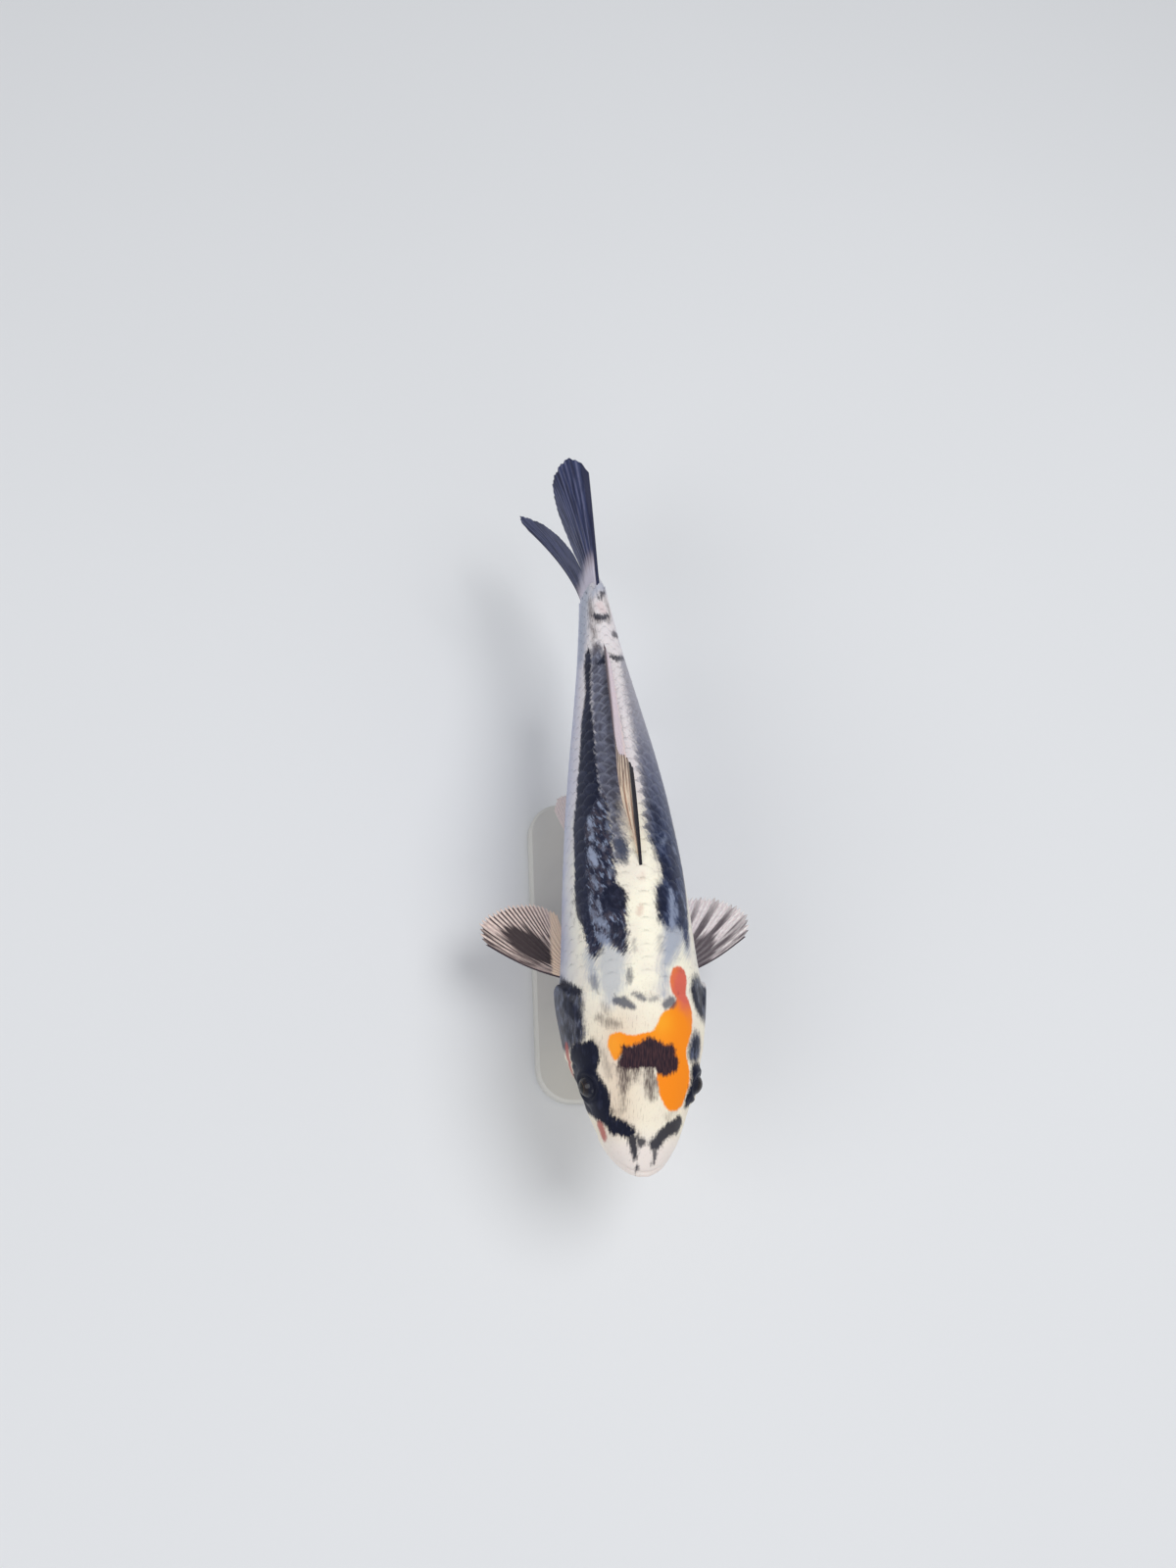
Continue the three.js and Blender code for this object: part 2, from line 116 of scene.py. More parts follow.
def smooth_step(low, high, value):
    """0 below low, 1 above high and an S curve between them. It falls instead if high is below low."""
    s = np.clip((value - low) / (high - low), 0, 1)
    return s * s * (3 - 2 * s)


def bell(value, width):
    """1 at zero, falling smoothly away on both sides."""
    return np.exp(-((value / width) ** 2))


def heading(station):
    """Angle by which the bent axis turns to the right at a station."""
    return np.arctan(-2 * SIDE_BEND * np.maximum(station, 0))


def axis_side(station):
    """Sideways place of the bent axis, as a share of the length to the left."""
    return -SIDE_BEND * (np.maximum(station, 0) ** 2 - BALANCE**2)


def beside(station, side, up):
    """Points in metres beside the bent axis, from shares of the length to the left and up."""
    turn = heading(station)
    x = axis_side(station) + side * np.cos(turn)
    y = station - BALANCE - side * np.sin(turn)
    return np.stack(np.broadcast_arrays(x * LENGTH, y * LENGTH, up * LENGTH + AXIS_HEIGHT), axis=-1)


def section(station, angle):
    """Sideways and upward shares of a body section. Angle 0 is the back and pi the belly."""
    power = 2 / (2 + 0.35 * bell(station - 0.12, 0.12))
    cosine, sine = np.cos(angle), np.sin(angle)
    level = WIDEST(station)
    reach = np.where(cosine >= 0, BACK(station) - level, level - BELLY(station))
    side = HALF_WIDTH(station) * np.sign(sine) * np.abs(sine) ** power
    return side, level + reach * np.sign(cosine) * np.abs(cosine) ** power


# Stations by equal steps round each half girth, so that places can be told by distance from the back.
STATIONS = np.linspace(SNOUT, ROOT_END, 346)
SHARES = np.linspace(0, 1, 241)


def measure_girths():
    """Half girths in metres, and the section angle at each station and share."""
    angles = np.linspace(0, math.pi, 721)
    side, up = section(STATIONS[:, None], angles[None, :])
    steps = np.hypot(np.diff(side, axis=1), np.diff(up, axis=1))
    arcs = np.concatenate([np.zeros((len(STATIONS), 1)), np.cumsum(steps, axis=1)], axis=1)
    table = np.array([np.interp(SHARES * arc[-1], arc, angles) for arc in arcs])
    return arcs[:, -1] * LENGTH, table


HALF_GIRTHS, ANGLES = measure_girths()


def half_girth(station):
    """Distance in metres from the ridge of the back to the keel of the belly."""
    return np.interp(station, STATIONS, HALF_GIRTHS)


def wrapped(share):
    """A share of the half girth brought into the range -1 to 1."""
    return (share + 1) % 2 - 1


def mm_behind(station, start=0):
    """Millimetres along the body from one station back to another."""
    return (station - start) * LENGTH / MM


def mm_round(station, share):
    """Millimetres round the body from the ridge of the back, minus on the right side."""
    return wrapped(share) * half_girth(station) / MM


def angle_at(station, share):
    """The section angle at a share of the half girth: 0 back, 1 belly, minus for the right side."""
    share = wrapped(share)
    row = np.clip((station - STATIONS[0]) / (STATIONS[1] - STATIONS[0]), 0, len(STATIONS) - 1.001)
    column = np.clip(np.abs(share) * (len(SHARES) - 1), 0, len(SHARES) - 1.001)
    i, j = row.astype(int), column.astype(int)
    s, t = row - i, column - j
    near = ANGLES[i, j] * (1 - t) + ANGLES[i, j + 1] * t
    far = ANGLES[i + 1, j] * (1 - t) + ANGLES[i + 1, j + 1] * t
    return np.sign(share) * (near * (1 - s) + far * s)


def skin_point(station, share):
    """Points in metres on the plain body."""
    station, share = np.broadcast_arrays(np.asarray(station, float), np.asarray(share, float))
    return beside(station, *section(station, angle_at(station, share)))


def unit(vectors):
    """Vectors brought to a length of one."""
    return vectors / np.maximum(np.linalg.norm(vectors, axis=-1, keepdims=True), 1e-12)


def skin_normal(station, share):
    """Outward directions on the plain body, from small steps round it and along it."""
    turn, pace = 0.004, 0.002
    across = skin_point(station, share + turn) - skin_point(station, share - turn)
    along = skin_point(station + pace, share) - skin_point(station - pace, share)
    return unit(np.cross(across, along))


# ---------------------------------------------------------------- relief of the head

# Side-view lines: station and height as shares of the length.
MOUTH_LINE = ((-0.03, 0.003), (0.0, -0.0085), (0.03, -0.0195), (0.05, -0.028), (0.06, -0.036))
GILL_OUTLINE = ((0.182, 0.02), (0.222, 0.047), (0.268, 0.044), (0.298, 0.014), (0.3, -0.026),
                (0.276, -0.066), (0.232, -0.084), (0.19, -0.066), (0.176, -0.02))
# Creases: depth and width in millimetres, then the line.
CREASES = (
    # corner of the mouth
    (0.5, 0.5, ((0.06, -0.036), (0.067, -0.046), (0.066, -0.056))),
    # behind the lips
    (0.42, 0.5, ((-0.02, 0.012), (0.006, 0.007), (0.032, -0.001), (0.054, -0.015), (0.068, -0.034),
                 (0.07, -0.046))),
    # hind edge of the cheek
    (0.34, 0.7, ((0.166, 0.012), (0.178, -0.012), (0.181, -0.042), (0.168, -0.067), (0.138, -0.08))),
    # under the eye
    (0.26, 0.9, ((0.098, 0.004), (0.115, -0.016), (0.14, -0.02), (0.162, -0.012))),
)
# Openings and flap of a nostril: station, then distance round, radius and height in millimetres.
NOSTRIL = ((0.0775, 11.6, 0.62, -0.85), (0.0865, 12.6, 0.85, -0.8), (0.082, 12.0, 0.5, 0.55))
# Where the scales start, by share of the half girth.
NAPE_LINE = curve_through(
    [(0, 0.256), (0.18, 0.262), (0.34, 0.285), (0.5, 0.3), (0.72, 0.296), (1, 0.26)])


def line_distance(x, y, line):
    """Distance from points to a line of corners."""
    nearest = np.full(np.shape(x), 1e9)
    for (x0, y0), (x1, y1) in zip(line[:-1], line[1:]):
        run, rise = x1 - x0, y1 - y0
        s = np.clip(((x - x0) * run + (y - y0) * rise) / max(run**2 + rise**2, 1e-12), 0, 1)
        nearest = np.minimum(nearest, np.hypot(x - x0 - s * run, y - y0 - s * rise))
    return nearest


def rounded_loop(corners, count=8):
    """A closed smooth curve through corners, as Catmull-Rom spans."""
    p = np.asarray(corners, float)
    s = (np.arange(count) / count)[None, :, None]
    a, b, c, d = (np.roll(p, shift, axis=0)[:, None, :] for shift in (1, 0, -1, -2))
    loop = 0.5 * (2 * b + (c - a) * s + (2 * a - 5 * b + 4 * c - d) * s**2
                  + (3 * b - a - 3 * c + d) * s**3)
    return loop.reshape(-1, 2)


def inside_loop(x, y, loop):
    """Distance to a closed loop, above zero inside it."""
    inside = np.zeros(np.shape(x), bool)
    for (x0, y0), (x1, y1) in zip(loop, np.roll(loop, -1, axis=0)):
        crosses = (y0 > y) != (y1 > y)
        rise = y1 - y0 if y1 != y0 else 1e-9
        inside ^= crosses & (x < x0 + (y - y0) * (x1 - x0) / rise)
    distance = line_distance(x, y, np.vstack([loop, loop[:1]]))
    return np.where(inside, distance, -distance)


def side_view(corners):
    """Side-view corners in millimetres."""
    return mm_behind(np.array(corners))


def eye_ball(label):
    """Centre and radius of the CAD eye, in metres."""
    low, high = (np.array(corner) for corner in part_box(f"eye_{label}"))
    return (low + high) / 2, (high[2] - low[2]) / 2


def head_relief(station, share, points):
    """Height in millimetres of the head's folds, lips, orbits and gill covers over the plain body."""
    around = mm_round(station, share)
    place = (mm_behind(station), mm_behind(section(station, angle_at(station, share))[1]))
    # Full lips on both sides of a narrow mouth.
    mouth = line_distance(*place, side_view(MOUTH_LINE))
    front = smooth_step(0.085, 0.05, station)
    height = front * (0.6 * bell(mouth - 1.25, 0.75) - 1.15 * bell(mouth, 0.36))
    for depth, width, line in CREASES:
        height -= depth * bell(line_distance(*place, side_view(line)), width)
    for back, out, radius, rise in NOSTRIL:
        height += rise * bell(np.hypot(mm_behind(station, back), np.abs(around) - out), radius)
    # The cheek draws in below the eye.
    height -= 1.3 * bell(mm_behind(station, 0.126), 7.5) * bell(np.abs(around) - 38, 8)
    # Each eye sits in a swelling with a raised ring and a fine groove next to the ball.
    for label in ("right", "left"):
        centre, radius = eye_ball(label)
        outside = (np.linalg.norm(points - centre, axis=-1) - radius) / MM
        height += 1.0 * bell(outside, 2.2) + 0.4 * bell(outside - 1.3, 0.8) - 0.5 * bell(outside, 0.3)
    # The gill cover rises towards its hind edge and drops there to a thin soft border.
    inside = inside_loop(*place, rounded_loop(side_view(GILL_OUTLINE)))
    cover_front, cover_length = 0.182, 0.116
    along = np.clip((station - cover_front) / cover_length, 0, 1.1)
    height += (0.1 + 1.2 * along**2) * smooth_step(-0.15, 0.55, inside)
    height += 0.4 * along**2 * smooth_step(-1.5, -1.1, inside)
    height += 0.3 * bell(inside - 5.5, 2.0) * along * smooth_step(0.28, 0.2, station)
    # Soft bones of the skull: a shallow groove along the crown between two swellings.
    crown = smooth_step(0.08, 0.13, station) * smooth_step(0.27, 0.22, station)
    height += crown * (0.25 * bell(np.abs(around) - 7, 4) - 0.2 * bell(around, 1.6))
    return height


# ---------------------------------------------------------------- markings

# Outlined marks: their strength, then corners as station and distance round from the ridge in
# millimetres, with the right side minus.
INK_PATCHES = (
    # broad band along the right of the back
    (1.0, (0.322, -18.4), (0.336, -20.8), (0.36, -22.8), (0.38, -25), (0.395, -27.2), (0.42, -28.8),
     (0.445, -29.4), (0.48, -29.2), (0.52, -29.2), (0.56, -28.8), (0.585, -27), (0.61, -25), (0.64, -23.4),
     (0.665, -21.4), (0.7, -19.4), (0.74, -17.4), (0.77, -15), (0.8, -12.8), (0.845, -12), (0.872, -10.6),
     (0.885, -8.4), (0.872, -7), (0.845, -8), (0.81, -9.2), (0.77, -10.4), (0.73, -10.8), (0.68, -11.6),
     (0.64, -12), (0.605, -12), (0.588, -13.4), (0.572, -16), (0.55, -20.8), (0.51, -21.2), (0.47, -21.8),
     (0.43, -21.4), (0.4, -20.8), (0.375, -20), (0.354, -19.2), (0.336, -17.8), (0.326, -17)),
    # blotches inside the mottled strip
    (1.0, (0.432, -12), (0.43, -9), (0.42, -6.6), (0.404, -6), (0.392, -7.6), (0.386, -10.6), (0.394, -14),
     (0.41, -15.6), (0.424, -14.8)),
    (0.95, (0.374, -9.6), (0.368, -7), (0.35, -6.4), (0.33, -6.8), (0.318, -7.6), (0.33, -9.6), (0.345, -12),
     (0.358, -13), (0.37, -12)),
    (0.6, (0.35, -20), (0.348, -16.6), (0.334, -15), (0.322, -15.6), (0.326, -19)),
    # crown
    (1.0, (0.183, -9), (0.182, -6), (0.187, -3), (0.193, 0.4), (0.188, 3.2), (0.183, 6), (0.184, 8.2),
     (0.176, 9.6), (0.168, 9.4), (0.162, 10.6), (0.154, 11.2), (0.145, 10.2), (0.139, 8), (0.136, 5),
     (0.139, 2.8), (0.146, 2), (0.147, -1), (0.146, -4.6), (0.147, -8.4), (0.153, -10.8), (0.163, -10.2),
     (0.174, -9.4)),
    # right cheek, from the gill cover past the eye to the lip
    (1.0, (0.196, -24), (0.196, -20), (0.182, -17.4), (0.164, -17), (0.15, -18), (0.138, -16.4),
     (0.122, -14.2), (0.108, -13.2), (0.092, -13), (0.081, -12.4), (0.074, -9), (0.064, -5.6), (0.053, -4),
     (0.046, -5.6), (0.05, -9.4), (0.057, -13.6), (0.067, -14.8), (0.077, -18.6), (0.09, -25),
     (0.104, -33), (0.125, -38.4), (0.147, -38.6), (0.164, -34.6), (0.188, -32.4), (0.198, -29)),
    (0.95, (0.058, -5.6), (0.05, -3.8), (0.036, -3), (0.018, -3.2), (0.014, -4.6), (0.028, -5.4),
     (0.045, -6.8)),
    (0.9, (0.046, -3.6), (0.045, -1), (0.04, -0.2), (0.034, -0.6), (0.034, -3)),
    # left of the snout
    (0.95, (0.08, 13.4), (0.076, 11), (0.068, 7.2), (0.059, 4.6), (0.044, 1.4), (0.036, 0.6), (0.027, 2),
     (0.03, 4.6), (0.043, 6.8), (0.048, 9), (0.055, 12.6), (0.068, 15)),
    # round the left eye
    (1.0, (0.158, 18.6), (0.148, 17.4), (0.125, 16.2), (0.104, 15), (0.09, 15.6), (0.1, 20), (0.125, 25),
     (0.155, 28), (0.162, 23)),
)
# Softer marks are chains of dabs: strength, then station, distance round and radius.
INK_DABS = (
    # tail stalk
    (0.9, (0.946, -3.6, 0.7), (0.939, -2, 1.3), (0.936, 0, 1.5), (0.942, 2.2, 0.9)),
    (0.8, (0.904, 3.4, 1), (0.907, 5.4, 1.7), (0.912, 8.4, 0.8)),
    (0.9, (0.858, 0.4, 0.9), (0.854, 2.8, 1.4), (0.86, 6.2, 0.8), (0.864, 9.4, 0.5)),
    (0.9, (0.86, -1, 0.7), (0.851, -3, 1.4), (0.846, -5, 0.9)),
    (0.8, (0.974, -0.6, 0.7), (0.983, 1, 0.9), (0.99, 2.8, 0.7)),
    # specks under the right strip
    (0.5, (0.45, -31.4, 0.5), (0.444, -31.2, 0.3)),
    (0.5, (0.43, -31, 0.6), (0.422, -30.6, 0.4)),
    (0.45, (0.398, -29.8, 0.6), (0.39, -29.4, 0.3)),
    (0.4, (0.412, -32.4, 0.5), (0.406, -32.2, 0.3)),
    (0.4, (0.366, -26.4, 0.6), (0.358, -26, 0.4)),
    (0.4, (0.335, -27.6, 0.5), (0.33, -27.2, 0.3)),
    # left of the back
    (1.0, (0.418, 7.2, 2.2), (0.398, 6.6, 2), (0.378, 5.8, 1)),
    (0.9, (0.47, 9, 2.2), (0.45, 10.6, 3), (0.436, 13.4, 2.6)),
    (0.85, (0.408, 17.2, 2.6), (0.382, 16.6, 2.2), (0.366, 14.6, 1)),
    (0.7, (0.5, 13.5, 2.6), (0.46, 16.5, 3)),
    (0.6, (0.56, 8, 2), (0.53, 9, 2)),
    # gill covers: painted shadow along the hind edge of the right cover, and blotches before it
    (0.95, (0.316, -43, 1.4), (0.3, -37, 1.8), (0.286, -30.6, 1.9), (0.274, -25.6, 1.3)),
    (0.85, (0.262, -32, 2.4), (0.248, -29, 2.4), (0.237, -26.2, 1.6)),
    (0.8, (0.222, -25.2, 1.1), (0.21, -26.4, 1.4)),
    (0.6, (0.225, -34, 2.2), (0.21, -31, 1.6)),
    (0.95, (0.284, 20.4, 1), (0.268, 20.2, 1.5), (0.25, 21.8, 1.7), (0.24, 25, 1.6)),
    (0.8, (0.272, 26, 2), (0.255, 30, 2)),
    # near the mouth
    (0.9, (0.005, -2.8, 0.7), (0.001, -2.6, 0.5)),
    (0.85, (0.03, 2.6, 0.8), (0.018, 3, 0.7), (0.008, 2.6, 0.5)),
)
SLATE_DABS = (
    (0.95, (0.251, -10.8, 1.3), (0.247, -8.2, 1.9), (0.239, -5.2, 0.8)),
    (0.85, (0.26, -5, 0.6), (0.254, -2.6, 1.1), (0.251, -1.4, 0.8)),
    (0.6, (0.25, 0.8, 0.9), (0.252, 3.2, 0.8)),
    (0.9, (0.242, 6.2, 1.5), (0.247, 8.6, 1.9)),
    (0.75, (0.296, -6.4, 0.8), (0.285, -6, 1.3), (0.276, -6.4, 0.6)),
    (0.45, (0.325, -4.4, 0.7), (0.34, -4.4, 0.8)),
    (0.5, (0.29, -19.4, 1.6), (0.278, -18.4, 1.4)),
    (0.9, (0.5, -7, 2), (0.49, -6.2, 1.8)),
    (0.8, (0.472, -6, 1.5), (0.466, -5.4, 1)),
)
ORANGE_PATCHES = (
    (1.0, (0.303, 12.6), (0.298, 9.6), (0.278, 8), (0.262, 8.8), (0.252, 10.4), (0.238, 7.8), (0.228, 4.6),
     (0.205, 2), (0.2, -1), (0.197, -6), (0.203, -10), (0.2, -13.2), (0.186, -14), (0.172, -13),
     (0.161, -11.2), (0.172, -8.6), (0.18, -5), (0.176, 5), (0.168, 8), (0.15, 8.6), (0.142, 6),
     (0.142, 2.8), (0.125, 3.2), (0.104, 4.2), (0.088, 6.6), (0.085, 9.4), (0.09, 12.6), (0.105, 14.6),
     (0.125, 16), (0.145, 16.4), (0.16, 15), (0.175, 14.4), (0.19, 15.8), (0.21, 17.6), (0.235, 17.8),
     (0.252, 16.2), (0.262, 15), (0.28, 15.8), (0.296, 15.4)),
)
RED_DABS = (
    (0.22, (0.962, -0.6, 1.5), (0.952, 0.4, 1.7)),
    (1.0, (0.071, -18.4, 1.9), (0.054, -16.8, 1.7)),
    (1.0, (0.197, -35.4, 1.8), (0.18, -36.4, 2.1), (0.162, -38, 1.8)),
    (0.35, (0.384, -2, 1.3), (0.394, -1.4, 1)),
    (0.2, (0.438, -0.6, 1), (0.446, 0.2, 0.9)),
)
# Streaked shading: strength, then dabs.
SMUDGES = (
    (0.85, (0.975, -5, 1), (0.955, -4.6, 1.3), (0.942, -4.2, 1.4), (0.93, -2, 1)),
    (0.75, (0.93, 2, 1), (0.945, 3.6, 1.1), (0.965, 3.6, 0.8)),
    (0.75, (0.93, -5.4, 1), (0.915, -4.4, 1.2), (0.9, -4.6, 0.9)),
    (0.6, (0.886, -4.6, 1), (0.87, -5, 0.8)),
    (0.6, (0.972, 2.6, 0.9), (0.984, 0.2, 1)),
    (0.75, (0.23, -17.4, 1.2), (0.22, -14, 1.5), (0.216, -10.6, 1.1)),
    (0.5, (0.245, -15.4, 1), (0.232, -14, 1)),
    (0.5, (0.196, -19.6, 1.1), (0.17, -15.4, 1.1), (0.14, -13.4, 1)),
    (1.0, (0.146, -8.6, 2.2), (0.132, -8, 2), (0.112, -8.6, 1)),
    (0.7, (0.112, -8.6, 0.9), (0.088, -8.6, 0.7)),
    (0.9, (0.144, -4.4, 1.4), (0.134, -4.8, 1.2)),
    (1.0, (0.144, 0, 1.4), (0.126, 0.4, 2.2), (0.106, 1, 1.3)),
    (0.85, (0.132, 2.8, 1.2), (0.114, 3, 1)),
    (0.35, (0.345, 5, 0.8), (0.325, 4.8, 0.9)),
    (0.5, (0.092, -13.4, 1), (0.084, -10, 0.8)),
    (0.35, (0.075, 7, 1.2), (0.09, 10.4, 1)),
    (0.5, (0.072, -9, 0.9), (0.05, -3, 0.6)),
)
# Mottled strips, where ink breaks up over pale blue-grey.
MOTTLED = (
    (1.0, (0.322, -18.8), (0.342, -22), (0.4, -26), (0.45, -28), (0.52, -27), (0.58, -26), (0.6, -16),
     (0.598, -11.2), (0.575, -10), (0.54, -9.6), (0.5, -9.6), (0.475, -9.6), (0.455, -9.2), (0.432, -8.4),
     (0.415, -6.2), (0.37, -6.4), (0.33, -6.6), (0.32, -8), (0.334, -12), (0.34, -15)),
)
NAVY = (
    (1.0, (0.358, 9), (0.37, 5.2), (0.4, 4.4), (0.425, 4.8), (0.44, 7), (0.46, 7.4), (0.475, 5.6),
     (0.5, 4.6), (0.55, 4.8), (0.6, 5.4), (0.66, 6), (0.74, 6.4), (0.76, 8), (0.74, 12), (0.68, 17),
     (0.6, 21), (0.53, 24), (0.48, 26), (0.43, 25), (0.39, 23), (0.355, 21), (0.335, 19), (0.342, 16.6),
     (0.362, 15.6), (0.364, 12)),
    # gill covers and behind the left eye
    (0.95, (0.312, -42), (0.298, -34), (0.286, -28), (0.272, -24), (0.25, -23.6), (0.228, -23.4),
     (0.205, -22.8), (0.193, -25), (0.19, -34), (0.2, -44), (0.24, -50), (0.28, -50)),
    (0.95, (0.294, 21), (0.282, 18.4), (0.262, 18.2), (0.246, 19.6), (0.234, 22.4), (0.226, 28),
     (0.234, 36), (0.262, 38), (0.288, 32), (0.298, 25)),
    (1.0, (0.206, 19.8), (0.197, 17), (0.178, 15.4), (0.164, 15.8), (0.158, 19), (0.17, 23.6), (0.2, 24)),
)
# Faded strips with a net of pale scale edges.
NETTED = (
    (0.92, (0.468, -6.4), (0.462, -8.6), (0.47, -10.4), (0.52, -10.8), (0.57, -11.4), (0.61, -12.8),
     (0.68, -12.4), (0.74, -11.4), (0.8, -9.8), (0.85, -8.4), (0.875, -7), (0.89, -4), (0.87, -2),
     (0.84, -1.2), (0.78, -0.8), (0.7, -0.8), (0.65, -1.8), (0.61, -3.4), (0.57, -4.8), (0.53, -5.6),
     (0.5, -4.6), (0.482, -4.2)),
    (0.95, (0.5, 3.4), (0.57, 3.4), (0.64, 3.6), (0.7, 3.8), (0.76, 3.8), (0.81, 4), (0.86, 5), (0.868, 9),
     (0.84, 13), (0.78, 16), (0.7, 19), (0.62, 22), (0.5, 22)),
)
PALE_DABS = (
    (0.9, (0.565, -19.2, 0.7), (0.553, -18.4, 1.3), (0.543, -17.6, 1.0)),
    (0.8, (0.526, -18, 1.1), (0.516, -17.2, 0.8)),
    (1.0, (0.499, -19.2, 1.4), (0.487, -18, 1.8), (0.476, -17, 1.4)),
    (0.7, (0.453, -18.6, 0.8), (0.443, -17.6, 1.0), (0.434, -16.8, 0.8)),
    (0.6, (0.426, -20.4, 0.7), (0.418, -19.6, 0.8)),
    (0.6, (0.41, -16.8, 0.8), (0.4, -16.2, 0.9), (0.393, -15.8, 0.7)),
    (0.7, (0.385, -18.8, 0.9), (0.38, -16.6, 1.3), (0.372, -14.6, 1.1)),
    (0.5, (0.41, -21, 0.8), (0.395, -19.6, 1), (0.382, -18.4, 1)),
    (0.6, (0.366, -13.4, 0.8), (0.358, -12.8, 0.6)),
    (0.75, (0.36, -17.4, 0.9), (0.352, -15.8, 1.3), (0.34, -13.6, 1.4)),
    (0.8, (0.577, -12.8, 0.7), (0.571, -12.3, 0.8)),
    (0.5, (0.505, -13.6, 0.6), (0.496, -13, 0.6)),
    (0.5, (0.54, -11, 0.6), (0.525, -10.6, 0.7)),
    (0.45, (0.46, -10.6, 0.8), (0.45, -11.4, 0.6)),
    (0.4, (0.47, -23, 0.6), (0.46, -22, 0.6)),
    (0.6, (0.526, -24.8, 0.6), (0.525, -23.8, 0.4)),
    (0.8, (0.425, 11.6, 1), (0.405, 11.4, 1.3), (0.385, 11, 1.2), (0.368, 10.6, 1.3)),
    (0.7, (0.4, 14.2, 0.9), (0.385, 13.4, 1.1)),
    (0.4, (0.5, 9, 1), (0.51, 12, 1)),
    (0.45, (0.5, 16, 1), (0.495, 18, 1)),
    (0.5, (0.42, 18.6, 1), (0.405, 20.6, 1)),
)
# Grey-lilac clouds: strength, then dabs. The first and third lie along the sides of the tail stalk as
# painted shade, the second greys the end of the stalk at the tail's root, and the rest lie over the nape and
# shoulders.
CLOUDS_AND_PAINTED_SHADE = (
    (0.9, (0.88, -14, 4), (0.93, -11.5, 5), (1.0, -8.5, 5)),
    (0.9, (0.99, -3, 2.6), (1.0, 2.4, 3.2)),
    (0.6, (0.89, 11.5, 2.6), (0.95, 9, 3)),
    (0.72, (0.252, -13, 2.6), (0.28, -12.6, 5.4), (0.315, -12.6, 6)),
    (1.0, (0.325, -10, 3), (0.31, -8, 1)),
    (0.9, (0.272, -18, 1.6), (0.29, -19, 2.6), (0.33, -21, 3)),
    (1.0, (0.258, 5.6, 1.4), (0.3, 6.2, 2.2), (0.335, 9.6, 4.8), (0.36, 12, 6)),
    (0.8, (0.36, 19, 3.4), (0.33, 18, 3)),
)


MARKS = {"ink": INK_PATCHES + INK_DABS, "orange": ORANGE_PATCHES, "red": RED_DABS, "slate": SLATE_DABS,
         "smudge": SMUDGES, "mottle": MOTTLED, "navy": NAVY, "net": NETTED, "pale": PALE_DABS,
         "cloud": CLOUDS_AND_PAINTED_SHADE}
# Depths are kept within this many millimetres, and a mark is worked out only this far outside it.
DEPTH_LIMIT, MARK_REACH = 5.0, 9.0


def chain_depth(along, around, dabs):
    """How deep points lie inside a chain of dabs, in millimetres, with minus outside."""
    best = np.full(np.shape(along), -np.inf)
    dabs = [(mm_behind(station), out, radius) for station, out, radius in dabs]
    for (a0, b0, r0), (a1, b1, r1) in zip(dabs[:-1], dabs[1:]):
        run, rise = a1 - a0, b1 - b0
        s = np.clip(((along - a0) * run + (around - b0) * rise) / max(run**2 + rise**2, 1e-9), 0, 1)
        reach = np.hypot(along - a0 - s * run, around - b0 - s * rise)
        best = np.maximum(best, r0 + s * (r1 - r0) - reach)
    return best


def marks_layer(along, around, marks):
    """Depth inside the deepest mark, in millimetres within limits, and that mark's strength."""
    depth, strength = np.full(np.shape(along), -DEPTH_LIMIT), np.zeros(np.shape(along))
    for full, *corners in marks:
        outline = np.array([corner[:2] for corner in corners]) * (LENGTH / MM, 1)
        low, high = outline.min(axis=0) - MARK_REACH, outline.max(axis=0) + MARK_REACH
        near = (along > low[0]) & (along < high[0]) & (around > low[1]) & (around < high[1])
        if not near.any():
            continue
        if len(corners[0]) == 3:
            inside = chain_depth(along[near], around[near], corners)
        else:
            inside = inside_loop(along[near], around[near], rounded_loop(outline, 3))
        strength[near] = np.where(inside > depth[near], full, strength[near])
        depth[near] = np.maximum(depth[near], inside)
    return np.clip(depth, -DEPTH_LIMIT, DEPTH_LIMIT), strength


